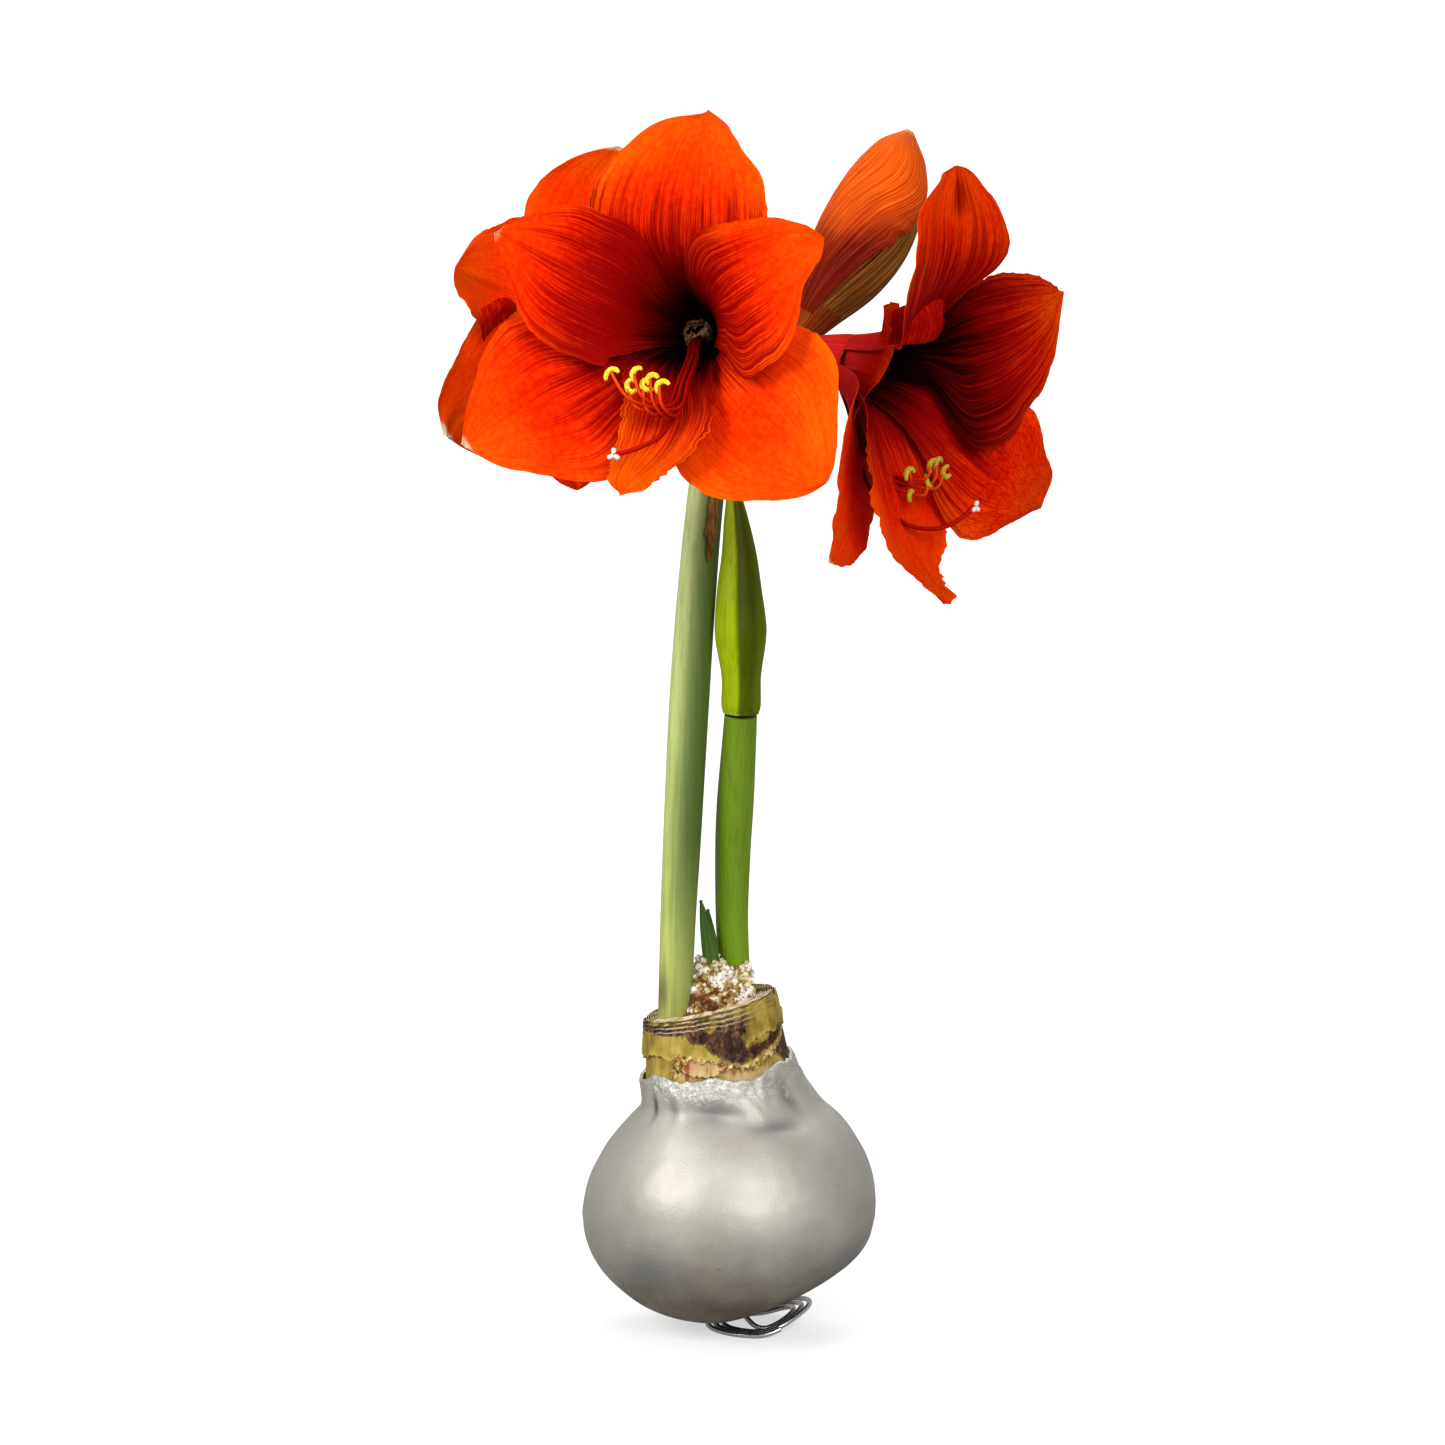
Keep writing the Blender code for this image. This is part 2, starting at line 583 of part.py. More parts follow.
def leaf_surface(leaf):
    """A short strap leaf, pointed at the tip, bowed across."""
    base = Vector(leaf.base) * MM
    along = Vector(leaf.tip) * MM - base
    side = Vector((1, 0.35, 0)).normalized()

    def surface(t, v):
        half = leaf.width * MM / 2 * through(LEAF_OUTLINE, t)
        return base + along * t + side * v * half + Vector((0, leaf.bow * MM * v * v, 0)) * (1 - t)
    return surface


def make_leaf(name, leaf, material):
    return blade(name, leaf_surface(leaf), LEAF_ROWS, 3, LEAF_THICKNESS, material)


def make_slot(leaf, material):
    """The room a leaf needs in the crust: the leaf made thicker, wider and a little longer."""
    surface = leaf_surface(leaf)

    def wider(t, v):
        return surface(mix(-0.015, 1.0, t), 1.12 * v)
    return blade("slot", wider, LEAF_ROWS, 3, LEAF_THICKNESS + 2 * GAP, material)


def make_crumb(draw, material):
    """A flattened ball of a few faces, somewhere on the mound."""
    centre = neck_point(draw.uniform(0, 2 * math.pi), 14 * MM * math.sqrt(draw.uniform(0.02, 1.0)), 0.0)
    size = draw.uniform(*CRUMB_RADII)
    centre.z += crust_height(centre.x, centre.y) + size * 0.15
    work = bmesh.new()
    bmesh.ops.create_icosphere(work, subdivisions=1, radius=size)
    turn = Matrix.Rotation(draw.uniform(0, 2 * math.pi), 3, "Z")
    verts = []
    for v in work.verts:
        point = turn @ v.co
        point.z *= draw.uniform(0.7, 1.0)
        verts.append(point + centre)
    faces = [tuple(v.index for v in f.verts) for f in work.faces]
    work.free()
    return solid("crumb", verts, faces, material)


def make_crust(material):
    """A mound in the bowl with crumbs stuck on it, cut clear of the stems and leaves."""
    draw = random.Random(8)
    count = 16
    outer = BOWL_RADIUS - 2.2 * GAP
    under = -BOWL_DEPTH + 1.4 * GAP
    middle = through(BULB_LEAN, CUT_HEIGHT)
    angles = [2 * math.pi * k / count for k in range(count)]
    rings = [[neck_point(a, 0.97 * outer, lift) for a in angles] for lift in (under, -1 * MM)]
    for share in (0.86, 0.66, 0.42, 0.2):
        ring = []
        for angle in angles:
            point = neck_point(angle, outer * share, 0.0)
            point.z += crust_height(point.x, point.y) + draw.uniform(-0.6, 0.6) * MM - 1.2 * MM * share
            ring.append(point)
        rings.append(ring)
    peak = neck_point(0.0, 0.0, crust_height(middle, 0.0))
    mound = ring_solid("crust", rings, material, neck_point(0.0, 0.0, under), peak)
    crumbs = [make_crumb(draw, material) for _ in range(CRUMBS)]
    apply_boolean(mound, "UNION", crumbs, "MANIFOLD")
    cutters = [
        stem("tall_hole", SCAPE_TALL[:4], material, grow=GAP * 1.5),
        stem("short_hole", SCAPE_SHORT[:5], material, grow=GAP * 1.5),
        make_slot(LEAF_FRONT, material),
        make_slot(LEAF_BACK, material),
    ]
    return apply_boolean(mound, "DIFFERENCE", cutters, "MANIFOLD")


# Bloom frames

def bloom_axes(heading, lift):
    """Right, up and forward of a bloom, as seen from its front."""
    turn = math.radians(heading)
    tilt = math.radians(lift)
    forward = Vector((math.cos(turn) * math.cos(tilt), math.sin(turn) * math.cos(tilt), math.sin(tilt)))
    right = Vector((0, 0, 1)).cross(forward).normalized()
    return right, forward.cross(right), forward


def bloom_place(bloom, right, up, forward):
    axes = bloom_axes(bloom.heading, bloom.lift)
    return Vector(bloom.base) * MM + axes[0] * right + axes[1] * up + axes[2] * forward


# Petals

def petal_midrib(petal, t):
    """Distance from the axis and height along it, in metres."""
    reach, rise = petal.reach * MM, petal.rise * MM
    belly = mix(0.60, 0.33, petal.flare) * reach
    crest = mix(0.72 * rise, rise + 9 * MM, petal.flare)
    radius = bezier(PETAL_ROOT_RADIUS, PETAL_ROOT_RADIUS + 5 * MM, belly, reach, t)
    height = bezier(PETAL_ROOT_HEIGHT, mix(32, 41, petal.flare) * MM, crest, rise, t)
    return Vector((radius, height))


def petal_surface(bloom, petal):
    def surface(t, v):
        here = petal_midrib(petal, t)
        after = petal_midrib(petal, min(t + 0.01, 1.0))
        along = (after - petal_midrib(petal, max(t - 0.01, 0.0))).normalized()
        inward = Vector((-along.y, along.x))
        # Round the tube at the root, and only a little cupped in the open part.
        curve = mix(1.0 / here.x, petal.cup / MM, ease(0.25, 0.7, t))
        # The roots close round the throat, and past it each petal has its own width.
        free = here.x - (WHORL_GAP if petal.inner else 0.0)
        own = petal.width * MM / 2 * through(PETAL_OUTLINE, t)
        half = min(mix(0.92 * free, own, ease(0.25, 0.6, t)), 0.98 * free)
        turn = curve * half * v
        sideways = math.sin(turn) / curve + petal.bend * MM * t**3
        lift = (1 - math.cos(turn)) / curve
        lift += (WHORL_GAP * (1 + 0.8 * ease(0.2, 0.7, t))) if petal.inner else 0.0
        wave = math.sin(9 * t + 2 * v + petal.azimuth) * ease(0.35, 0.7, t) * (1 - 0.5 * t)
        lift += PETAL_RUFFLE * v * v * wave
        radial = here.x + inward.x * lift
        height = here.y + inward.y * lift
        a = math.radians(petal.azimuth)
        return bloom_place(bloom, radial * math.cos(a) - sideways * math.sin(a),
                           radial * math.sin(a) + sideways * math.cos(a), height)
    return surface


def make_perianth(name, bloom, material):
    sides = 14
    rings = []
    for radius, height in TUBE_PROFILE:
        rings.append([bloom_place(bloom, radius * MM * math.cos(2 * math.pi * k / sides),
                                  radius * MM * math.sin(2 * math.pi * k / sides), height * MM)
                      for k in range(sides)])
    tube = ring_solid(name, rings, material)
    petals = [blade("petal", petal_surface(bloom, p), PETAL_ROWS, PETAL_COLUMNS, PETAL_THICKNESS, material)
              for p in bloom.petals]
    # The petals meet the tube's rim at grazing angles, which the exact solver leaves open.
    return apply_boolean(tube, "UNION", petals, "MANIFOLD")


# Stamens and pistil

def throat_room(bloom, height, spare):
    """How far from the axis a thread's middle may lie at a height, in metres."""
    room = through(TUBE_ROOM, height / MM) * MM - spare
    for petal in bloom.petals:
        for k in range(4, 40):
            t = k / 40
            along = (petal_midrib(petal, t + 0.01) - petal_midrib(petal, t - 0.01)).normalized()
            lift = THREAD_ROOM + spare + (2 * WHORL_GAP if petal.inner else 0.0)
            front = petal_midrib(petal, t) + Vector((-along.y, along.x)) * lift
            if front.y >= height:
                room = min(room, front.x)
                break
    return max(room, 0.0)


def thread_path(bloom, start, target, droop, steps, spares):
    """A thread's middle line in the bloom's frame: it sinks to the lower petal and curves up again."""
    b = Vector((start.x, start.y, 34 * MM))
    c = Vector((target.x * 0.85, target.y - droop, target.z * 0.97))
    path = [start]
    for k in range(1, steps + 1):
        point = bezier(start, b, c, target, k / steps)
        far = math.hypot(point.x, point.y)
        share = min(1.0, throat_room(bloom, point.z, mix(spares[0], spares[1], k / steps)) / max(far, 1e-6))
        path.append(Vector((point.x * share, point.y * share, point.z)))
    return path


def make_stamens(name, bloom, material):
    """Six threads with their anthers, joined by a collar that leaves room for the style under them."""
    top = COLLAR_BOTTOM + COLLAR_TALL
    verts = []
    for radius, height in ((COLLAR_HOLE, COLLAR_BOTTOM), (COLLAR_RADIUS, COLLAR_BOTTOM), (COLLAR_RADIUS, top),
                           (COLLAR_HOLE, top)):
        for k in range(COLLAR_SIDES + 1):
            angle = math.radians(mix(COLLAR_FROM, COLLAR_TO, k / COLLAR_SIDES))
            verts.append(bloom_place(bloom, radius * math.cos(angle), radius * math.sin(angle), height))
    wide = COLLAR_SIDES + 1
    faces = [(0, wide, 2 * wide, 3 * wide), (wide - 1, 4 * wide - 1, 3 * wide - 1, 2 * wide - 1)]
    for r in range(4):
        for k in range(COLLAR_SIDES):
            a, b = r * wide + k, ((r + 1) % 4) * wide + k
            faces.append((a, a + 1, b + 1, b))
    collar = solid(name, verts, faces, material)
    right, up, _ = bloom_axes(bloom.heading, bloom.lift)
    start = Vector((0, 0.3 * MM, COLLAR_BOTTOM + COLLAR_TALL / 2))
    middle_line = thread_path(bloom, start, Vector(bloom.anthers) * MM, 9 * MM, 5, BUNDLE_SPARE)
    parts = []
    for degrees in FILAMENT_ANGLES:
        angle = math.radians(degrees)
        path = []
        for k, point in enumerate(middle_line):
            t = k / (len(middle_line) - 1)
            apart = ease(0.35, 1.0, t)
            across = mix(BUNDLE_RADIUS, BUNDLE_SPREAD[0], apart) * math.cos(angle)
            high = mix(BUNDLE_RADIUS, BUNDLE_SPREAD[1], apart) * math.sin(angle)
            shift = Vector((across, high, 3 * MM * t**3 * math.cos(2 * angle)))
            path.append(bloom_place(bloom, *(point + shift)))
        parts.append(ring_solid("filament", tube_rings(path, [FILAMENT_RADIUS] * len(path), 4), material))
        end = path[-1]
        lean = right * math.cos(angle * 1.7) * 1.6 * MM
        anther = [end - right * 2.6 * MM + lean, end - right * 1.0 * MM + up * 0.5 * MM,
                  end + right * 1.1 * MM + up * 0.5 * MM, end + right * 2.7 * MM - lean]
        radii = [0.5 * MM, 1.15 * MM, 1.15 * MM, 0.5 * MM]
        parts.append(ring_solid("anther", tube_rings(anther, radii, 4), material))
    return apply_boolean(collar, "UNION", parts, "MANIFOLD")


def make_pistil(name, bloom, material):
    start = Vector((0, -2.45 * MM, COLLAR_BOTTOM))
    line = thread_path(bloom, start, Vector(bloom.stigma) * MM, 4 * MM, 9, (0.0, 1 * MM))
    path = [bloom_place(bloom, *p) for p in line]
    style = ring_solid(name, tube_rings(path, [STYLE_RADIUS] * len(path), 5), material)
    right, up, forward = bloom_axes(bloom.heading, bloom.lift)
    lobes = []
    for k in range(3):
        angle = math.radians(120 * k + 90)
        out = (right * math.cos(angle) + up * math.sin(angle) + forward * 0.5).normalized()
        lobe = [path[-1] - out * 0.4 * MM, path[-1] + out * 1.2 * MM, path[-1] + out * 2.4 * MM]
        lobes.append(ring_solid("lobe", tube_rings(lobe, [0.7 * MM, 0.85 * MM, 0.5 * MM], 4), material))
    return apply_boolean(style, "UNION", lobes)


# Flower stem with its umbel

def stalk(base, forward, material):
    """A flower stalk from the umbel that swells into the ovary under a bloom."""
    end = base - forward * GAP
    root = end - forward * OVARY_LENGTH
    start = UMBEL + (root - UMBEL).normalized() * 1.5 * MM
    lead = (root - start).length * 0.45
    above = start + Vector((0, 0, 0.5)) * lead + (root - start) * 0.2
    path = [bezier(start, above, root - forward * lead, root, k / 4) for k in range(5)]
    radii = [STALK_RADIUS] * 5
    for share, radius in OVARY_PROFILE:
        path.append(mix(root, end, share))
        radii.append(OVARY_RADIUS * radius)
    return ring_solid("stalk", tube_rings(path, radii, 8), material)


def opening_axis():
    return (OPENING_TIP - OPENING_BASE).normalized()


def make_flower_stem(material):
    main = stem("flower_stem", SCAPE_TALL, material)
    parts = []
    knob = []
    angles = [2 * math.pi * k / STEM_SIDES for k in range(STEM_SIDES)]
    for radius, height in UMBEL_PROFILE:
        ring = [Vector((radius * math.cos(a), radius * math.sin(a), height)) * MM for a in angles]
        knob.append([UMBEL + point for point in ring])
    parts.append(ring_solid("umbel", knob, material))
    for bloom in BLOOMS.values():
        parts.append(stalk(Vector(bloom.base) * MM, bloom_axes(bloom.heading, bloom.lift)[2], material))
    parts.append(stalk(OPENING_BASE, opening_axis(), material))
    return apply_boolean(main, "UNION", parts)


def make_bract(name, side, material):
    """A dried spathe leaf hanging from just under the umbel, close to the stem."""
    def surface(t, v):
        z = BRACT_TOP - BRACT_LENGTH * t
        x = through([(s[2], s[0]) for s in SCAPE_TALL], z / MM) * MM
        y = through([(s[2], s[1]) for s in SCAPE_TALL], z / MM) * MM
        r = through([(s[2], s[3]) for s in SCAPE_TALL], z / MM) * MM
        width = BRACT_WIDTH * through(BRACT_OUTLINE, t)
        out = r + PETAL_THICKNESS / 2 + 2 * GAP + 1.2 * MM * t
        angle = math.radians(side) + v * width / 2 / r
        return Vector((x + out * math.cos(angle), y + out * math.sin(angle), z))
    return blade(name, surface, BRACT_ROWS, 3, PETAL_THICKNESS, material)


def make_closed_bud(material):
    def keel(_, angle):
        return 1.0 + 0.05 * math.cos(2 * angle)
    return stem("closed_bud", CLOSED_BUD, material, steps=2, squash=keel)


# Opening bud

def make_opening_bud(material):
    forward = opening_axis()
    length = (OPENING_TIP - OPENING_BASE).length
    right = Vector((0, 0, 1)).cross(forward).normalized()
    up = forward.cross(right)

    def place(angle, radius, along):
        share = along / length
        middle = OPENING_BASE + forward * along + OPENING_BOW * 4 * share * (1 - share)
        return middle + (right * math.cos(angle) + up * math.sin(angle)) * radius

    def fold(middle, reach, out, tip):
        def surface(t, v):
            radius = OPENING_RADIUS * through(OPENING_PROFILE, t)
            radius += out * ease(0.0, 0.3, t) + tip * ease(0.6, 1.0, t)
            wide = reach * (1 - 0.45 * ease(0.55, 1.0, t))
            return place(middle + v * wide, radius, length * (0.06 + 0.94 * t))
        return surface

    rings = []
    for share in (0.0, 0.08, 0.22, 0.4, 0.6, 0.78, 0.92):
        radius = max(OPENING_RADIUS * through(OPENING_PROFILE, share) - OPENING_CORE, 1.2 * MM)
        if share == 0.0:
            radius = OPENING_ROOT
        rings.append([place(2 * math.pi * k / 12, radius, length * share) for k in range(12)])
    core = ring_solid("opening_bud", rings, material)
    petals = []
    for middle, out, tip in FOLDS:
        surface = fold(math.radians(middle), math.radians(FOLD_REACH), out * MM, tip * MM)
        petals.append(blade("fold", surface, FOLD_ROWS, 4, PETAL_THICKNESS, material))
    return apply_boolean(core, "UNION", petals, "MANIFOLD")


# The whole object

def main():
    clear_scene()
    steel = make_material("bright_wire", (0.55, 0.55, 0.54), 0.28, 1.0)
    wax = make_material("silver_wax", (0.60, 0.59, 0.57), 0.38, 0.6)
    flesh = make_material("bulb_flesh", (0.52, 0.45, 0.16), 0.55)
    skin = make_material("dry_skin", (0.22, 0.11, 0.05), 0.75)
    crumbs = make_material("crust", (0.55, 0.42, 0.30), 0.9)
    leaf = make_material("leaf_green", (0.03, 0.13, 0.03), 0.45)
    pale = make_material("pale_green", (0.36, 0.50, 0.22), 0.5)
    bright = make_material("bright_green", (0.16, 0.36, 0.03), 0.45)
    dried = make_material("dried_bract", (0.25, 0.14, 0.06), 0.8)
    red = make_material("petal_red", (0.80, 0.07, 0.01), 0.5)
    filament = make_material("filament_red", (0.50, 0.03, 0.02), 0.5)
    white = make_material("pistil_pink", (0.75, 0.30, 0.25), 0.5)
    bronze = make_material("bud_bronze", (0.60, 0.14, 0.05), 0.5)

    wire_tube("wire_base", steel, 0.0)
    make_wax(wax)
    make_bulb(flesh)
    make_skin(skin)
    make_crust(crumbs)
    make_leaf("leaf_front", LEAF_FRONT, leaf)
    make_leaf("leaf_back", LEAF_BACK, leaf)
    make_flower_stem(pale)
    make_bract("bract_front", BRACT_FRONT_SIDE, dried)
    make_bract("bract_back", BRACT_BACK_SIDE, dried)
    stem("bud_stem", SCAPE_SHORT, bright)
    make_closed_bud(bright)
    for place, bloom in BLOOMS.items():
        make_perianth(place + "_perianth", bloom, red)
        make_stamens(place + "_stamens", bloom, filament)
        make_pistil(place + "_pistil", bloom, white)
    make_opening_bud(bronze)


main()
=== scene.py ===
import math
import random

import bmesh
import bpy
from mathutils import Matrix, Vector, noise


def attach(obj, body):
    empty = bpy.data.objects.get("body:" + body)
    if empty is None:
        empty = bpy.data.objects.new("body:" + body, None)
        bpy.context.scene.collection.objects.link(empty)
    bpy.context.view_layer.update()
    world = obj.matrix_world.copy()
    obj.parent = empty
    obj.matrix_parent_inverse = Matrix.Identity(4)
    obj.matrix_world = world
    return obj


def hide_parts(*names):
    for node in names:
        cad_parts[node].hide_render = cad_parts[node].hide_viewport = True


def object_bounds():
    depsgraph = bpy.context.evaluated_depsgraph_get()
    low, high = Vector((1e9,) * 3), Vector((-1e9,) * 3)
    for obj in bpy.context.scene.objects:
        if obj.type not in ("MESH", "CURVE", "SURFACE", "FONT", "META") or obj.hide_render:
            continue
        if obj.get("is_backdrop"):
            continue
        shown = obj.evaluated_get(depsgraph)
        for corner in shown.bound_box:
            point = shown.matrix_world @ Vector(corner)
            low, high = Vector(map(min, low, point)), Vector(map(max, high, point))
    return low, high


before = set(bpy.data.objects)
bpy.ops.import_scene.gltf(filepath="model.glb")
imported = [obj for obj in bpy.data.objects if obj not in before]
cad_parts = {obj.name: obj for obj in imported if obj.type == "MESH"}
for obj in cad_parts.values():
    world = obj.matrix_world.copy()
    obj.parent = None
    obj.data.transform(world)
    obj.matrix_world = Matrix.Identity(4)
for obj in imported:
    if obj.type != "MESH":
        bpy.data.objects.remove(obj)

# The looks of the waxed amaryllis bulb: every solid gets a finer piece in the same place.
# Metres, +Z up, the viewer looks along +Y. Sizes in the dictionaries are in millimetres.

mm = 0.001
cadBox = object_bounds()


# Small sums

def ease(low, high, value):
    share = min(1.0, max(0.0, (value - low) / (high - low)))
    return share * share * (3.0 - 2.0 * share)


def mix(a, b, share):
    return a + (b - a) * share


def hump(middle, width, value):
    return math.exp(-((value - middle) / width) ** 2)


def through(points, value):  # smooth curve through (x, y) points
    if value <= points[0][0]:
        return points[0][1]
    if value >= points[-1][0]:
        return points[-1][1]
    i = max(k for k in range(len(points) - 1) if points[k][0] <= value)
    x0, y0 = points[i]
    x1, y1 = points[i + 1]
    before = points[max(i - 1, 0)]
    after = points[min(i + 2, len(points) - 1)]
    slope0 = (y1 - before[1]) / (x1 - before[0])
    slope1 = (after[1] - y0) / (after[0] - x0)
    s = (value - x0) / (x1 - x0)
    run = x1 - x0
    return ((2 * s**3 - 3 * s**2 + 1) * y0 + (s**3 - 2 * s**2 + s) * run * slope0
            + (3 * s**2 - 2 * s**3) * y1 + (s**3 - s**2) * run * slope1)


def bezier(a, b, c, d, t):
    return (1 - t)**3 * a + 3 * (1 - t)**2 * t * b + 3 * (1 - t) * t**2 * c + t**3 * d


def rough(x, y, z=0.0, octaves=3):  # fractal noise from about -1 to 1
    return noise.fractal(Vector((x, y, z)), 0.8, 2.1, octaves, noise_basis="PERLIN_ORIGINAL")


# Meshes

def newObject(name, data):
    obj = bpy.data.objects.new(name, data)
    bpy.context.collection.objects.link(obj)
    return obj


def around(count):
    return [2 * math.pi * k / count for k in range(count)]


def spoke(angle, height=0.0, radius=1.0):
    return Vector((radius * math.cos(angle), radius * math.sin(angle), height))


def even(count):  # from 0 to 1
    return [k / count for k in range(count + 1)]


def bothSides(count):  # from -1 to 1
    return [k / count - 1 for k in range(2 * count + 1)]


def metres(rings):
    return [[p * mm for p in ring] for ring in rings]


class Shape:  # points, faces and named numbers of one piece, gathered part by part
    def __init__(self):
        self.points = []
        self.faces = []
        self.values = {}

    def add(self, points, faces, values=None):
        first = len(self.points)
        self.points += points
        self.faces += [tuple(i + first for i in face) for face in faces]
        for name, numbers in (values or {}).items():
            column = self.values.setdefault(name, [])
            column += [0.0] * (first - len(column))
            column += numbers

    def addSheet(self, surface, ts, vs, thickness, facts):  # closed thin sheet over surface(t, v)
        rows, columns = len(ts), len(vs)
        middle = [[surface(t, v) for v in vs] for t in ts]
        front, back, values = [], [], []
        for i, t in enumerate(ts):
            for j, v in enumerate(vs):
                along = middle[min(i + 1, rows - 1)][j] - middle[max(i - 1, 0)][j]
                across = middle[i][min(j + 1, columns - 1)] - middle[i][max(j - 1, 0)]
                normal = across.cross(along).normalized() * thickness(t, v) / 2
                front.append(middle[i][j] + normal)
                back.append(middle[i][j] - normal)
                values.append(facts(t, v))
        half = len(front)
        faces = []
        for i in range(rows - 1):
            for j in range(columns - 1):
                a = i * columns + j
                b, c, d = a + 1, a + columns + 1, a + columns
                faces += [(a, b, c, d), (half + a, half + d, half + c, half + b)]
        rim = list(range(columns - 1))
        rim += [i * columns + columns - 1 for i in range(rows - 1)]
        rim += [(rows - 1) * columns + j for j in range(columns - 1, 0, -1)]
        rim += [i * columns for i in range(rows - 1, 0, -1)]
        for k, a in enumerate(rim):
            b = rim[(k + 1) % len(rim)]
            faces.append((a, half + a, half + b, b))
        table = {name: [v[name] for v in values] * 2 for name in values[0]}
        table["outside"] = [1.0] * half + [0.0] * half
        self.add(front + back, faces, table)

    def addRings(self, rings, facts=None, loop=False):  # loop also joins the last ring to the first
        count = len(rings[0])
        points = [p for ring in rings for p in ring]
        faces = []
        for r in range(len(rings) if loop else len(rings) - 1):
            after = (r + 1) % len(rings)
            for k in range(count):
                n = (k + 1) % count
                faces.append((r * count + k, r * count + n, after * count + n, after * count + k))
        table = {}
        places = [(r, k) for r in range(len(rings)) for k in range(count)]
        if not loop:
            for r in (0, len(rings) - 1):
                points.append(sum(rings[r], Vector()) / count)
                places.append((r, 0))
                pole = len(points) - 1
                for k in range(count):
                    faces.append((r * count + (k + 1) % count, r * count + k, pole))
        if facts:
            values = [facts(r, k) for r, k in places]
            table = {name: [v[name] for v in values] for name in values[0]}
        self.add(points, faces, table)

    def addTube(self, path, radii, sides, facts=None, squash=None):
        rings = []
        side = None
        for i, point in enumerate(path):
            along = (path[min(i + 1, len(path) - 1)] - path[max(i - 1, 0)]).normalized()
            if side is None:
                side = along.cross(Vector((0, 0, 1)))
                side = side if side.length > 0.3 else Vector((1, 0, 0))
            side = (side - along * side.dot(along)).normalized()
            up = side.cross(along)
            ring = []
            for k in range(sides):
                angle = 2 * math.pi * k / sides
                radius = radii[i] * (squash(i, angle) if squash else 1.0)
                ring.append(point + (side * math.cos(angle) + up * math.sin(angle)) * radius)
            rings.append(ring)
        self.addRings(rings, facts)

    def piece(self, name, material, slot, *nodes):
        mesh = bpy.data.meshes.new(name)
        mesh.from_pydata([tuple(p) for p in self.points], [], self.faces)
        for key, column in self.values.items():
            column += [0.0] * (len(self.points) - len(column))
            mesh.attributes.new(key, "FLOAT", "POINT").data.foreach_set("value", column)
        turned = bmesh.new()
        turned.from_mesh(mesh)
        bmesh.ops.recalc_face_normals(turned, faces=turned.faces)
        turned.to_mesh(mesh)
        turned.free()
        obj = newObject(name, mesh)
        mesh.materials.append(material)
        return settle(obj, slot, *nodes)


def settle(obj, slot, *nodes):  # smooth shading, its body and the nodes that it stands for
    obj.data.shade_smooth()
    obj.data.set_sharp_from_angle(angle=math.radians(55))
    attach(obj, "root")
    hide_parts(*nodes)
    print(f"  {obj.name}: {len(obj.data.vertices)} points")
    return obj


# Node trees

def addNode(tree, kind, inputs=None, **settings):
    node = tree.nodes.new(kind)
    for name, value in settings.items():
        setattr(node, name, value)
    for name, value in (inputs or {}).items():
        socket = node.inputs[name]
        if isinstance(value, bpy.types.NodeSocket):
            tree.links.new(value, socket)
        else:
            socket.default_value = value
    return node


def cameraShare(tree, elsewhere):  # 1 for the camera's own view, less for other rays
    seen = addNode(tree, "ShaderNodeLightPath").outputs["Is Camera Ray"]
    return addNode(tree, "ShaderNodeMapRange", {0: seen, 3: elsewhere, 4: 1.0}).outputs[0]


class Nodes:
    def add(self, kind, inputs=None, output=0, **settings):
        return addNode(self.tree, kind, inputs, **settings).outputs[output]


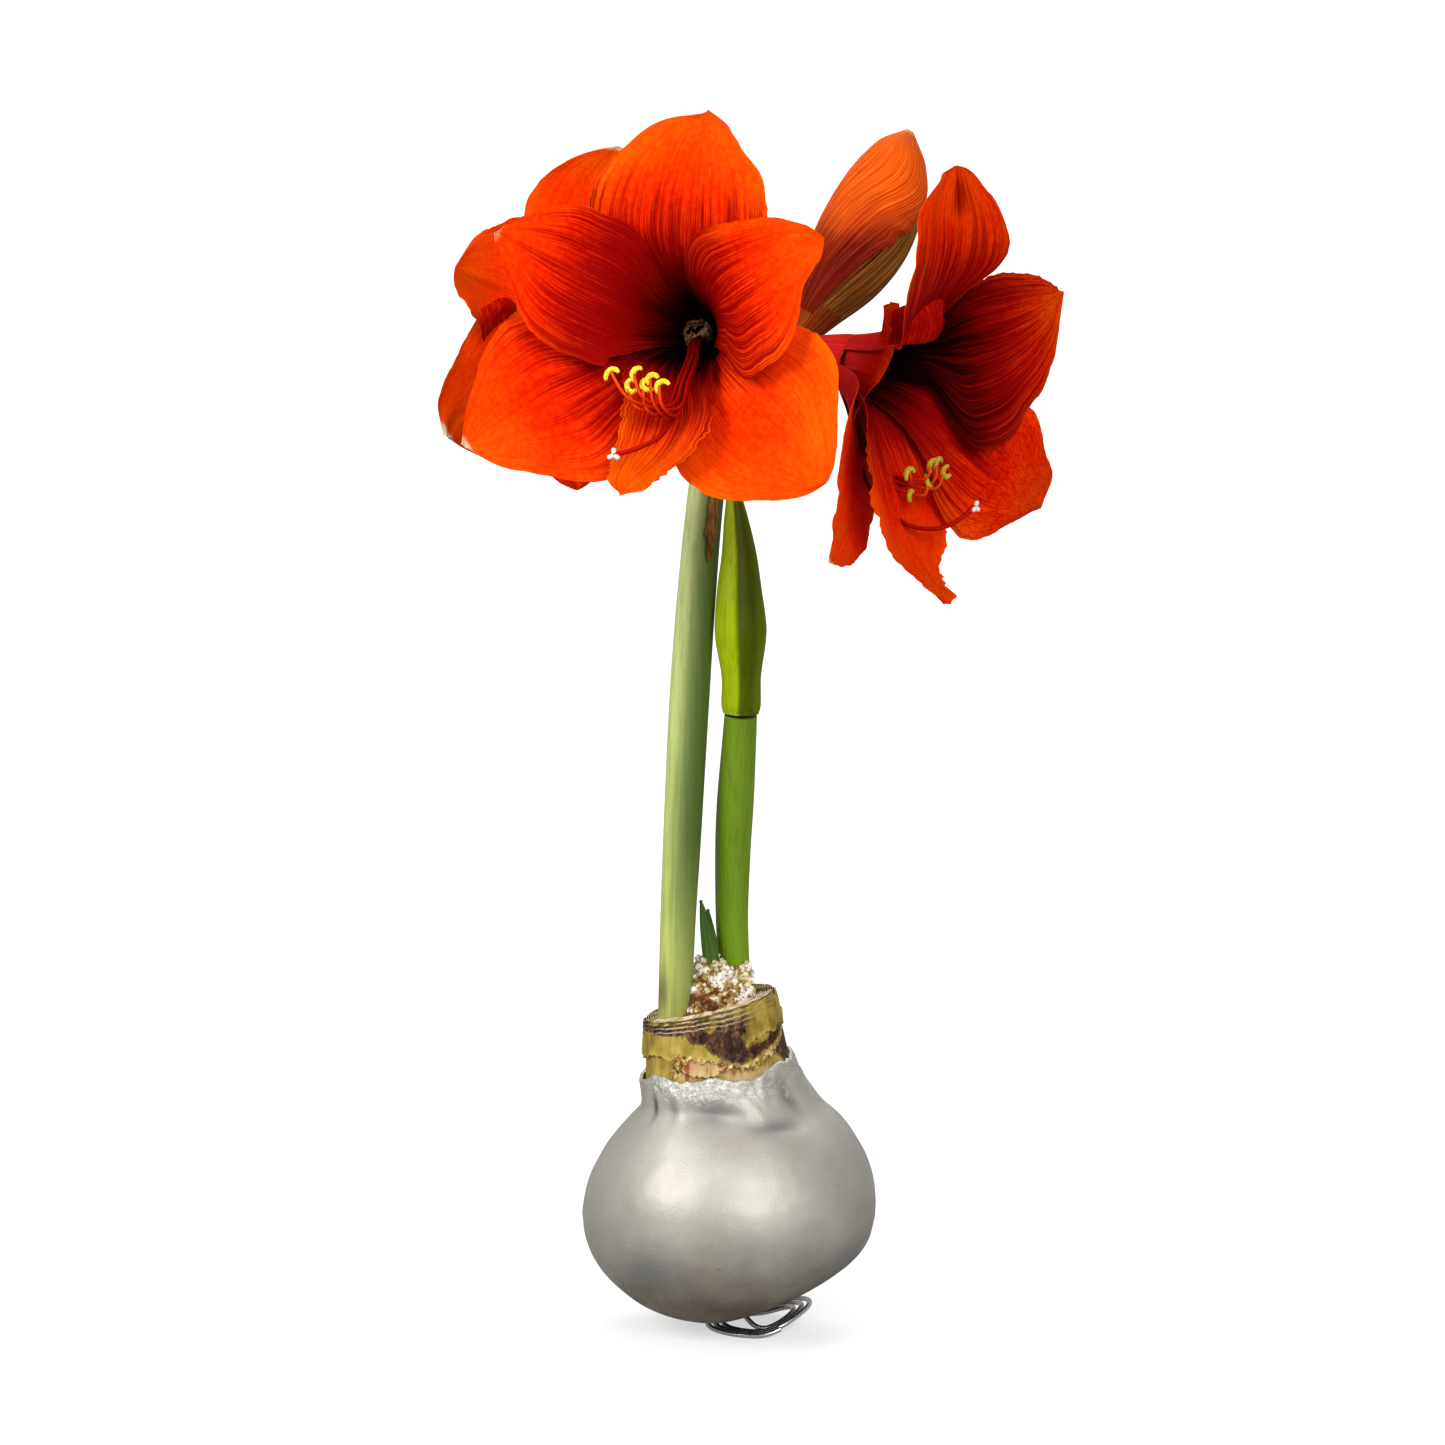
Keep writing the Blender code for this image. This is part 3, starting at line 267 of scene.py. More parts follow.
class Finish(Nodes):  # one surface finish, built up node by node
    def __init__(self, name, **sockets):
        self.material = bpy.data.materials.new(name)
        self.material.use_nodes = True
        self.tree = self.material.node_tree
        self.shader = self.tree.nodes["Principled BSDF"]
        for key, value in sockets.items():
            self.shader.inputs[key.replace("_", " ")].default_value = value
        self.place = self.add("ShaderNodeTexCoord", None, "Object")

    def value(self, name):
        return self.add("ShaderNodeAttribute", None, "Fac", attribute_name=name)

    def calc(self, operation, a, b=0.0, clamp=False):
        return self.add("ShaderNodeMath", {0: a, 1: b}, operation=operation, use_clamp=clamp)

    def plus(self, a, b, clamp=False):
        return self.calc("ADD", a, b, clamp)

    def minus(self, a, b):
        return self.calc("SUBTRACT", a, b)

    def times(self, a, b):
        return self.calc("MULTIPLY", a, b)

    def soft(self, low, high, value):  # 0 below low, 1 above high
        inputs = {0: value, 1: low, 2: high}
        return self.add("ShaderNodeMapRange", inputs, interpolation_type="SMOOTHSTEP")

    def stretch(self, scale):
        return self.add("ShaderNodeMapping", {"Vector": self.place, "Scale": scale})

    def grain(self, scale, detail=2.0, vector=None, distortion=0.0):
        inputs = {"Vector": vector or self.place, "Scale": scale, "Detail": detail, "Distortion": distortion}
        return self.add("ShaderNodeTexNoise", inputs, "Fac")

    def cells(self, scale, vector=None, feature="DISTANCE_TO_EDGE", output="Distance"):
        inputs = {"Vector": vector or self.place, "Scale": scale}
        return self.add("ShaderNodeTexVoronoi", inputs, output, feature=feature)

    def blend(self, share, a, b, mode="MIX"):
        node = addNode(self.tree, "ShaderNodeMix", data_type="RGBA", blend_type=mode)
        for index, value in ((0, share), (6, a), (7, b)):
            if isinstance(value, bpy.types.NodeSocket):
                self.tree.links.new(value, node.inputs[index])
            else:
                node.inputs[index].default_value = value if index == 0 else (*value, 1.0)
        return node.outputs[2]

    def flat(self, x, y, z):
        return self.add("ShaderNodeCombineXYZ", {0: x, 1: y, 2: z})

    def ramp(self, value, stops):
        node = addNode(self.tree, "ShaderNodeValToRGB", {"Fac": value})
        while len(node.color_ramp.elements) < len(stops):
            node.color_ramp.elements.new(0.5)
        for element, (place, colour) in zip(node.color_ramp.elements, stops):
            element.position = place
            element.color = (*colour, 1.0)
        return node.outputs["Color"]

    def link(self, socket, value):
        self.tree.links.new(value, self.shader.inputs[socket])

    def done(self, colour, height, distance, strength):  # the colour and the fine relief
        inputs = {"Height": height, "Distance": distance, "Strength": strength}
        self.link("Base Color", colour)
        self.link("Normal", self.add("ShaderNodeBump", inputs))
        return self.material


class Grower(Nodes):  # a Geometry Nodes tree with named inputs: numbers, whole numbers and a material
    def __init__(self, name, numbers, wholes):
        self.tree = bpy.data.node_groups.new(name, "GeometryNodeTree")
        face = self.tree.interface
        face.new_socket("Geometry", in_out="INPUT", socket_type="NodeSocketGeometry")
        face.new_socket("Geometry", in_out="OUTPUT", socket_type="NodeSocketGeometry")
        self.named = {}
        kinds = {"Float": numbers.split(), "Int": wholes.split(), "Material": ["Material"]}
        for key, kind in [(key, kind) for kind, keys in kinds.items() for key in keys]:
            self.named[key] = face.new_socket(key, in_out="INPUT", socket_type="NodeSocket" + kind).identifier
        self.start = self.tree.nodes.new("NodeGroupInput")
        self.end = self.tree.nodes.new("NodeGroupOutput")

    def given(self, name):
        return self.start.outputs[name]

    def pick(self, low, high, seed):  # a random number or vector for each point
        vector = isinstance(low, tuple)
        inputs = {0: low, 1: high, "Seed": seed} if vector else {2: low, 3: high, "Seed": seed}
        return self.add("FunctionNodeRandomValue", inputs, 0 if vector else 1,
                        data_type="FLOAT_VECTOR" if vector else "FLOAT")

    def scatter(self, ground, density):  # points spread evenly over the faces
        inputs = {"Mesh": ground, "Distance Min": self.given("Spacing"), "Density Max": density,
                  "Seed": self.given("Seed")}
        return self.add("GeometryNodeDistributePointsOnFaces", inputs, distribute_method="POISSON")

    def rumple(self, geometry, scale, amount):  # instances made real and their points moved by a noise
        real = self.add("GeometryNodeRealizeInstances", {0: geometry})
        lumps = self.add("ShaderNodeTexNoise", {"Scale": scale, "Detail": 3.0}, "Color")
        centred = self.add("ShaderNodeVectorMath", {0: lumps, 1: (0.5, 0.5, 0.5)}, operation="SUBTRACT")
        offset = self.add("ShaderNodeVectorMath", {0: centred, "Scale": amount}, operation="SCALE")
        return self.add("GeometryNodeSetPosition", {"Geometry": real, "Offset": offset})

    def ring(self, count):
        inputs = {"Resolution": self.given(count), "Radius": self.given("Radius")}
        return self.add("GeometryNodeCurvePrimitiveCircle", inputs)

    def join(self, *parts):
        both = addNode(self.tree, "GeometryNodeJoinGeometry")
        for part in parts:
            self.tree.links.new(part, both.inputs[0])
        return both.outputs[0]

    def close(self, geometry):  # instances made real, then the finish
        real = self.add("GeometryNodeRealizeInstances", {0: geometry})
        done = self.add("GeometryNodeSetMaterial", {"Geometry": real, "Material": self.given("Material")})
        self.tree.links.new(done, self.end.inputs[0])

    def grow(self, name, points, edges=(), faces=(), **values):  # the plain mesh that the tree makes
        mesh = bpy.data.meshes.new(name)
        mesh.from_pydata([tuple(p) for p in points], edges, faces)
        obj = newObject(name, mesh)
        modifier = obj.modifiers.new("grow", "NODES")
        modifier.node_group = self.tree
        for key, value in values.items():
            modifier[self.named[key]] = value
        state = bpy.context.evaluated_depsgraph_get()
        made = bpy.data.meshes.new_from_object(obj.evaluated_get(state))
        obj.modifiers.clear()
        obj.data = made
        return obj


# Finishes

def petalFinish():
    f = Finish("orange red petals", Roughness=0.7, Specular_IOR_Level=0.02)
    across, along = f.value("across"), f.value("along")
    wander = f.times(f.minus(f.grain(70, 3), 0.5), 0.02)
    line = f.plus(across, wander)

    def share(amount, value):
        return f.times(value, amount)

    def brushed(count, length, low, high):  # streaks that run along the petal
        flat = f.flat(share(count, line), share(length, along), f.value("seed"))
        return f.soft(low, high, f.grain(1.0, 3, flat))

    def centred(amount, value):
        return share(amount, f.minus(value, 0.5))
    coarse, fine = brushed(20, 1.6, 0.36, 0.66), brushed(75, 4.5, 0.36, 0.66)
    wave = f.calc("ABSOLUTE", f.calc("SINE", share(math.pi * 12, line)))
    ribs = share(f.soft(0.2, 0.45, along), f.minus(1.0, f.soft(0.0, 0.5, wave)))
    ribs = share(ribs, brushed(5, 2.4, 0.36, 0.58))
    meshed = f.flat(share(11.0, line), share(15.0, along), f.value("seed"))
    net = f.minus(1.0, f.soft(0.0, 0.12, f.cells(1.4, meshed)))
    net = share(share(f.value("net"), f.soft(0.5, 0.8, along)), net)
    mottle = f.soft(0.34, 0.66, f.grain(480, 4))
    middle = f.minus(1.0, f.soft(0.55, 1.0, f.calc("MAXIMUM", f.calc("ABSOLUTE", across), along)))
    vein = share(f.plus(share(0.4, middle), 0.1), ribs)
    vein = f.calc("MAXIMUM", vein, share(0.75, net))
    vein = f.plus(vein, f.plus(share(0.16, coarse), share(0.26, fine)))
    vein = f.plus(vein, share(0.18, mottle), clamp=True)

    margin = f.calc("MAXIMUM", f.calc("POWER", f.calc("ABSOLUTE", across), 3.0), f.soft(0.7, 1.0, along))
    light = f.plus(share(0.38, margin), share(0.6, f.grain(38, 4)))
    light = f.plus(f.plus(light, centred(0.22, mottle)), f.value("tone"))
    colour = f.ramp(light, [(0.06, (0.70, 0.014, 0.0005)), (0.32, (0.92, 0.045, 0.0005)),
                            (0.58, (1.0, 0.095, 0.001)), (1.0, (1.0, 0.20, 0.003))])
    # pinker outside near the base: the outside's own paler red together with a painted sheen of reflected
    # light
    paleOutsideAndSheen = share(f.minus(1.0, f.soft(0.25, 0.6, along)), f.value("outside"))
    colour = f.blend(share(0.85, paleOutsideAndSheen), colour, (0.95, 0.06, 0.055))
    colour = f.blend(share(0.85, vein), colour, (0.66, 0.16, 0.2), "MULTIPLY")
    streaks = f.plus(centred(0.28, coarse), centred(0.3, fine))
    inside = f.minus(1.0, share(0.6, f.value("outside")))
    # deep red over the inner part of each petal: the petals' own deep red together with painted shade, and
    # painted shadow where the patches are set
    deepRedAndShadeMask = f.soft(0.2, 0.85, f.plus(f.value("blush"), streaks))
    colour = f.blend(share(share(0.94, deepRedAndShadeMask), inside), colour, (0.29, 0.0014, 0.0022))
    # near-black throat: the throat's own dark red together with painted shade deep in the funnel
    throat = f.soft(0.2, 0.95, f.plus(f.value("throat"), share(0.6, streaks)))
    throat = share(throat, f.minus(1.0, f.value("outside")))
    colour = f.blend(throat, colour, (0.008, 0.0002, 0.0003))
    colour = f.blend(f.value("pale"), colour, (0.93, 0.78, 0.50))
    relief = f.minus(share(0.3, f.grain(260, 3)), f.plus(share(0.4, vein), share(0.3, fine)))
    return f.done(colour, relief, 0.0004, 0.6)


def waxFinish():
    f = Finish("satin silver wax", Metallic=0.4, Roughness=0.45, Specular_IOR_Level=0.3)
    sparkle = f.cells(4200, feature="F1", output="Color")
    glint = f.soft(0.88, 1.0, f.add("ShaderNodeSeparateColor", {0: sparkle}))
    cloud = f.grain(24, 4)
    colour = f.ramp(cloud, [(0.3, (0.40, 0.38, 0.335)), (0.7, (0.55, 0.53, 0.475))])
    # darker and browner towards the bottom, at the lower right and in a slit near the rim: painted shade
    colour = f.blend(f.value("soil"), colour, (0.125, 0.098, 0.068))
    flaked = f.times(f.value("flake"), f.soft(0.45, 0.62, f.grain(520, 4, distortion=1.5)))
    colour = f.blend(flaked, colour, (0.78, 0.77, 0.75))
    # blue-grey painted shade at the left and right sides, in the pressed hollows and in a band round the
    # lower body
    colour = f.blend(f.times(f.value("cool"), 0.75), colour, (0.18, 0.182, 0.188))
    colour = f.blend(f.times(glint, 0.2), colour, (0.75, 0.73, 0.68))
    speck = f.soft(0.79, 0.83, f.grain(210, 1))
    colour = f.blend(f.times(speck, 0.5), colour, (0.20, 0.15, 0.10))
    f.link("Roughness", f.plus(f.times(cloud, 0.3), 0.35))
    fine = f.plus(f.times(f.grain(1300, 2), 0.5), f.times(f.grain(140, 3), 0.7))
    fine = f.plus(fine, f.times(f.value("flake"), f.times(f.grain(700, 4, distortion=2.0), 4.0)))
    return f.done(colour, f.minus(fine, speck), 0.0003, 0.5)


def wireFinish():
    f = Finish("bright wire", Metallic=1.0, Roughness=0.25)
    drawn = f.grain(1500, 3, f.stretch((1, 1, 6)))
    colour = f.ramp(drawn, [(0.3, (0.42, 0.42, 0.42)), (0.7, (0.72, 0.72, 0.72))])
    f.link("Roughness", f.plus(f.times(drawn, 0.2), 0.15))
    return f.done(colour, drawn, 0.0001, 0.4)


def stemFinish(name, low, middle, high, shade, bloomy, shine=0.45):  # three colours up the stem
    f = Finish(name, Roughness=0.42, Specular_IOR_Level=shine, Sheen_Weight=bloomy, Sheen_Roughness=0.6)
    colour = f.ramp(f.value("along"), [(0.0, low), (0.25, middle), (1.0, high)])
    streak = f.grain(1.0, 4, f.stretch((900, 900, 14)))
    patch = f.grain(60, 3, f.stretch((1, 1, 0.35)))
    colour = f.blend(f.times(f.soft(0.45, 0.7, streak), 0.28), colour, shade)
    colour = f.blend(f.times(f.soft(0.45, 0.75, patch), 0.22), colour, shade)
    # painted shade: the shaded side of a stem, the leaf's crease and the knob under the blooms
    colour = f.blend(f.value("dusk"), colour, shade)
    colour = f.blend(f.value("smudge"), colour, (0.13, 0.10, 0.05))
    f.link("Roughness", f.plus(f.times(patch, 0.25), 0.3))
    return f.done(colour, streak, 0.0004, 0.5)


def dryFinish(name, dark, lightColour, scale, stretchBy=(1, 1, 0.25)):
    f = Finish(name, Roughness=0.7, Specular_IOR_Level=0.35)
    fibre = f.grain(scale, 5, f.stretch(stretchBy))
    spots = f.grain(scale * 0.22, 3)
    colour = f.ramp(f.plus(f.times(fibre, 0.6), f.times(spots, 0.4)),
                    [(0.35, dark), (0.62, lightColour)])
    return f.done(colour, fibre, 0.0006, 0.8)


def neckFinish():  # olive scales with brown dry skin, gold torn edges and dark rims
    f = Finish("bulb scales and skin", Roughness=0.5, Specular_IOR_Level=0.3)
    fibre = f.grain(1.0, 5, f.stretch((420, 420, 50)))
    spots = f.grain(120, 4)
    crinkle = f.grain(420, 5, distortion=1.2)
    olive = f.ramp(f.plus(f.times(fibre, 0.3), f.times(spots, 0.7)),
                   [(0.3, (0.16, 0.10, 0.012)), (0.5, (0.38, 0.28, 0.05)), (0.72, (0.58, 0.47, 0.13))])
    brown = f.ramp(f.plus(f.times(fibre, 0.5), f.times(crinkle, 0.5)),
                   [(0.38, (0.012, 0.006, 0.003)), (0.5, (0.07, 0.028, 0.010)), (0.68, (0.30, 0.15, 0.06))])
    gold = f.ramp(crinkle,
                  [(0.36, (0.10, 0.05, 0.012)), (0.5, (0.42, 0.27, 0.07)), (0.66, (0.85, 0.70, 0.38))])
    tan = f.ramp(fibre, [(0.36, (0.30, 0.07, 0.03)), (0.43, (0.48, 0.31, 0.14)), (0.7, (0.60, 0.45, 0.24))])
    colour = f.blend(f.value("tan"), olive, tan)
    colour = f.blend(f.value("brown"), colour, brown)
    colour = f.blend(f.value("gold"), colour, gold)
    colour = f.blend(f.value("cream"), colour, (0.80, 0.72, 0.52))
    # near black in the grooves between the cut scale rings: painted shade
    colour = f.blend(f.value("groove"), colour, (0.025, 0.012, 0.006))
    worn = f.calc("MAXIMUM", f.value("gold"), f.value("brown"))
    return f.done(colour, f.plus(f.times(fibre, 0.4), f.times(worn, crinkle)), 0.0007, 0.8)


def crumbFinish():  # white foam, cream crumbs, olive scales and rusty skin, each in its own part of the mound
    f = Finish("dry crumbs", Roughness=0.85, Specular_IOR_Level=0.1)
    apart = addNode(f.tree, "ShaderNodeSeparateXYZ", {0: f.place})
    zone = f.plus(f.grain(150, 2), f.times(f.minus(f.value("kind"), 0.5), 0.22))
    zone = f.plus(zone, f.times(f.soft(-0.022, 0.004, apart.outputs[0]), 0.12))
    zone = f.plus(zone, f.times(f.soft(0.112, 0.136, apart.outputs[2]), 0.16))
    colour = f.ramp(zone, [(0.0, (0.07, 0.025, 0.010)), (0.42, (0.20, 0.085, 0.032)),
                           (0.50, (0.46, 0.29, 0.14)), (0.58, (0.34, 0.27, 0.05)),
                           (0.64, (0.74, 0.62, 0.40)), (0.74, (0.90, 0.86, 0.78))])
    mottle = f.grain(900, 4)
    colour = f.blend(f.times(f.soft(0.5, 0.66, mottle), 0.75), colour, (0.16, 0.07, 0.03))
    return f.done(colour, mottle, 0.0008, 1.0)


def threadFinish():
    f = Finish("red filaments", Roughness=0.5, Specular_IOR_Level=0.04)
    # near black at the root: the filaments' own deep red together with painted shade deep in the throat
    colour = f.ramp(f.value("along"), [(0.0, (0.05, 0.001, 0.001)), (0.4, (0.20, 0.002, 0.002)),
                                       (0.75, (0.50, 0.012, 0.003)), (1.0, (0.88, 0.12, 0.01))])
    return f.done(colour, f.grain(700, 2), 0.0002, 0.4)


def pollenFinish():
    f = Finish("yellow pollen", Roughness=0.9, Specular_IOR_Level=0.05)
    dust = f.grain(1400, 3)
    colour = f.ramp(dust, [(0.3, (0.55, 0.38, 0.005)), (0.48, (0.95, 0.76, 0.03)), (0.68, (1.0, 0.92, 0.25))])
    colour = f.blend(f.times(f.value("olive"), 0.65), colour, (0.22, 0.19, 0.02))
    return f.done(colour, dust, 0.0004, 0.9)


def stigmaFinish():
    f = Finish("white stigma", Roughness=0.6)
    fuzz = f.grain(1300, 3)
    colour = f.ramp(fuzz, [(0.3, (0.72, 0.62, 0.55)), (0.6, (0.95, 0.92, 0.88))])
    return f.done(colour, fuzz, 0.0004, 0.8)


budColours = {   # from a dark line to a light one
    "orange": [(0.0, (0.50, 0.022, 0.002)), (0.45, (0.92, 0.12, 0.008)), (1.0, (0.95, 0.30, 0.025))],
    "bronze": [(0.05, (0.05, 0.016, 0.004)), (0.5, (0.26, 0.12, 0.015)), (1.0, (0.60, 0.36, 0.09))],
    "maroon": [(0.05, (0.03, 0.001, 0.002)), (0.6, (0.20, 0.012, 0.010)), (1.0, (0.42, 0.05, 0.03))],
}


def budFinish():
    f = Finish("bronze bud petals", Roughness=0.6, Specular_IOR_Level=0.06)
    across, along = f.value("across"), f.value("along")
    line = f.plus(across, f.times(f.minus(f.grain(50, 2), 0.5), 0.03))

    def brushed(count, length, low, high):
        flat = f.flat(f.times(line, count), f.times(along, length), f.value("bronze"))
        return f.soft(low, high, f.grain(1.0, 2.5, flat))
    lines = f.plus(f.times(brushed(26, 1.2, 0.3, 0.7), 0.35), f.times(brushed(110, 3.5, 0.32, 0.68), 0.65))
    orange, bronze, maroon = (f.ramp(lines, stops) for stops in budColours.values())
    # bronze on the second bud tepal and on the core: their own bronze together with painted shade under the
    # front tepal
    colour = f.blend(f.value("bronze"), orange, bronze)
    # maroon towards the base: the bud's own maroon together with painted shade
    colour = f.blend(f.value("blush"), colour, maroon)
    colour = f.blend(f.soft(0.975, 1.0, along), colour, (0.85, 0.62, 0.22))
    return f.done(colour, lines, 0.0006, 0.7)


print("finishes")
finishes = {
    "petal": petalFinish(), "wax": waxFinish(), "wire": wireFinish(),
    "neck": neckFinish(), "crumb": crumbFinish(), "thread": threadFinish(), "pollen": pollenFinish(),
    "stigma": stigmaFinish(), "bud": budFinish(),
    "fringe": dryFinish("tan throat fringe", (0.14, 0.055, 0.018), (0.72, 0.45, 0.20), 900),
    "bract": dryFinish("dried bract", (0.03, 0.010, 0.003), (0.34, 0.17, 0.04), 420),
    "pale": stemFinish("bloomy green stem", (0.62, 0.62, 0.16), (0.54, 0.63, 0.19), (0.58, 0.64, 0.30),
                       (0.06, 0.11, 0.015), 0.0),
    "bright": stemFinish("bright green stem", (0.32, 0.46, 0.012), (0.20, 0.33, 0.014), (0.17, 0.27, 0.012),
                         (0.06, 0.12, 0.004), 0.0),
    "bud green": stemFinish("green bud", (0.40, 0.52, 0.010), (0.42, 0.54, 0.008), (0.26, 0.34, 0.006),
                            (0.045, 0.07, 0.002), 0.0, 0.15),
    "leaf": stemFinish("dark leaf", (0.20, 0.27, 0.012), (0.085, 0.17, 0.010), (0.05, 0.12, 0.010),
                       (0.010, 0.035, 0.008), 0.0),
    "stalk": stemFinish("flower stalks", (0.20, 0.36, 0.08), (0.22, 0.38, 0.09), (0.16, 0.26, 0.07),
                        (0.10, 0.16, 0.04), 0.1),
}


# Wire stand

wire = dict(radius=0.95, centre=(4.0, 2.0), outer=20.0, pitch=2.9, turns=3, steps=56, rise=8.2,
            end=(-7.0, 0.0, 34.0), sides=14)


def coilPoint(angle):
    radius = wire["outer"] - wire["pitch"] * angle / (2 * math.pi)
    x = wire["centre"][0] + radius * math.cos(angle + math.radians(70))
    y = wire["centre"][1] - radius * math.sin(angle + math.radians(70))
    return Vector((x, y, wire["radius"] + wire["rise"] * ease(2, 27, x))) * mm


def makeWire():
    path = [coilPoint(2 * math.pi * k / wire["steps"]) for k in range(wire["turns"] * wire["steps"] + 1)]
    last = path[-1]
    along = (path[-1] - path[-2]).normalized()
    end = Vector(wire["end"]) * mm
    below = end - Vector((0, 0, 26 * mm))
    path += [bezier(last, last + along * 9 * mm, below, end, s) for s in even(24)[1:]]
    tree = Grower("bent wire", "Radius", "Sides")
    curve = tree.add("GeometryNodeMeshToCurve", {0: tree.given("Geometry")})
    inputs = {"Curve": curve, "Profile Curve": tree.ring("Sides"), "Fill Caps": True}
    tree.close(tree.add("GeometryNodeCurveToMesh", inputs))
    edges = [(k, k + 1) for k in range(len(path) - 1)]
    obj = tree.grow("wire_coil", path, edges, Radius=wire["radius"] * mm, Sides=wire["sides"],
                    Material=finishes["wire"])
    settle(obj, "bright_wire", "wire_base")


# Bulb and wax

bulb = dict(radius=52.4, waist=41.5, bottom=3.2, slant=0.15, rise=50.0, neckRadius=25.7, neckTop=109.5,
            spread=0.2232, blend=3.0, wall=1.9, gap=0.3, waxTop=96.0, shoulder=84.0, cut=118.0, slope=0.24,
            rim=22.9, bowl=16.6, bowlDepth=6.0)
bulbLean = [(3.0, -12.0), (16.0, -8.6), (41.5, -7.2), (78.0, -5.8), (92.0, -10.2), (110.0, -13.6),
            (122.0, -14.8)]   # height and where the middle lies


def bulbRadius(z):
    rise = bulb["waist"] - bulb["bottom"] if z < bulb["waist"] else bulb["rise"]
    share = min(1.0, abs(z - bulb["waist"]) / rise)
    body = bulb["radius"] * math.sqrt(1.0 - share * share)
    if z < bulb["waist"]:
        return body
    neck = bulb["neckRadius"] + max(bulb["neckTop"] - z, -10) * bulb["spread"]
    return 0.5 * (body + neck + math.sqrt((body - neck)**2 + bulb["blend"]**2))


def bulbDent(angle, z):
    body = ease(8, 25, z) * (1 - ease(70, 84, z))
    slow = 0.5 * math.sin(2 * angle + 0.8) + 0.35 * math.sin(3 * angle - 1.1)
    return 0.7 * body * slow + hump(82, 9, z) * (0.9 * math.sin(5 * angle + 0.6) + 0.6 * math.sin(8 * angle))


def waxEdge(angle):
    wave = 3.6 * math.cos(angle)
    return bulb["waxTop"] + wave + 1.1 * math.sin(3 * angle + 2.1) + 0.9 * math.sin(7 * angle + 0.4)


def cutHeight(x):
    return bulb["cut"] + bulb["slope"] * (x - through(bulbLean, bulb["cut"]))


def profilePoint(z, angle, inset):
    low, high = max(z - 0.5, bulb["bottom"]), z + 0.5
    slope = Vector((bulbRadius(high) - bulbRadius(low), high - low)).normalized()
    radius = bulbRadius(z) + bulbDent(angle, z) - slope.y * inset
    height = z + slope.x * inset
    x = through(bulbLean, height) + radius * math.cos(angle)
    low = 1.0 - ease(bulb["bottom"], bulb["waist"], z)
    height += bulb["slant"] * low * max(0.0, x - through(bulbLean, bulb["bottom"]))
    return Vector((x, radius * math.sin(angle), height))


def neckPoint(angle, radius, lift):
    x = through(bulbLean, bulb["cut"]) + radius * math.cos(angle)
    return Vector((x, radius * math.sin(angle), cutHeight(x) + lift))


def turnFrom(angle, degrees):  # how far an angle lies from one in degrees, in degrees
    return (math.degrees(angle) - degrees + 180) % 360 - 180


waxHollows = [   # pressed into the wax: turn in degrees, height, half sizes and depth
    dict(zip(("turn", "z", "wide", "tall", "deep"), row)) for row in (
        (-100, 84.5, 20, 3.4, 1.3), (-128, 85, 6, 4, 0.9), (-62, 80, 15, 2.2, 1.0), (-42, 88, 7, 6, 1.1),
        (-112, 66, 10, 12, 0.5), (-80, 58, 12, 4, 0.35), (20, 84, 14, 5, 1.1), (95, 82, 20, 5, 1.1),
        (160, 86, 12, 6, 1.0), (-30, 30, 14, 8, 0.5), (-125, 30, 14, 7, 0.5), (130, 40, 16, 12, 0.6))]


def hollowAt(hollow, angle, z, depth=1.0):
    near = depth * hump(0, hollow["wide"], turnFrom(angle, hollow["turn"]))
    return near * hump(hollow["z"], hollow["tall"], z)


def waxPress(angle, z):  # how far the wax lies in or out from its plain form
    press = 0.0
    for hollow in waxHollows:
        press -= hollowAt(hollow, angle, z, hollow["deep"])
    x, y = 3 * math.cos(angle), 3 * math.sin(angle)
    press += 0.35 * rough(x * 0.8, y * 0.8, z / 22) * ease(5, 20, z)
    crinkle = ease(84, 93, z)
    press += crinkle * (0.55 * rough(x * 2.4, y * 2.4, z / 3.5) + 0.25 * rough(x * 7, y * 7, z / 1.3))
    return max(press - 0.3 * crinkle, -1.45)


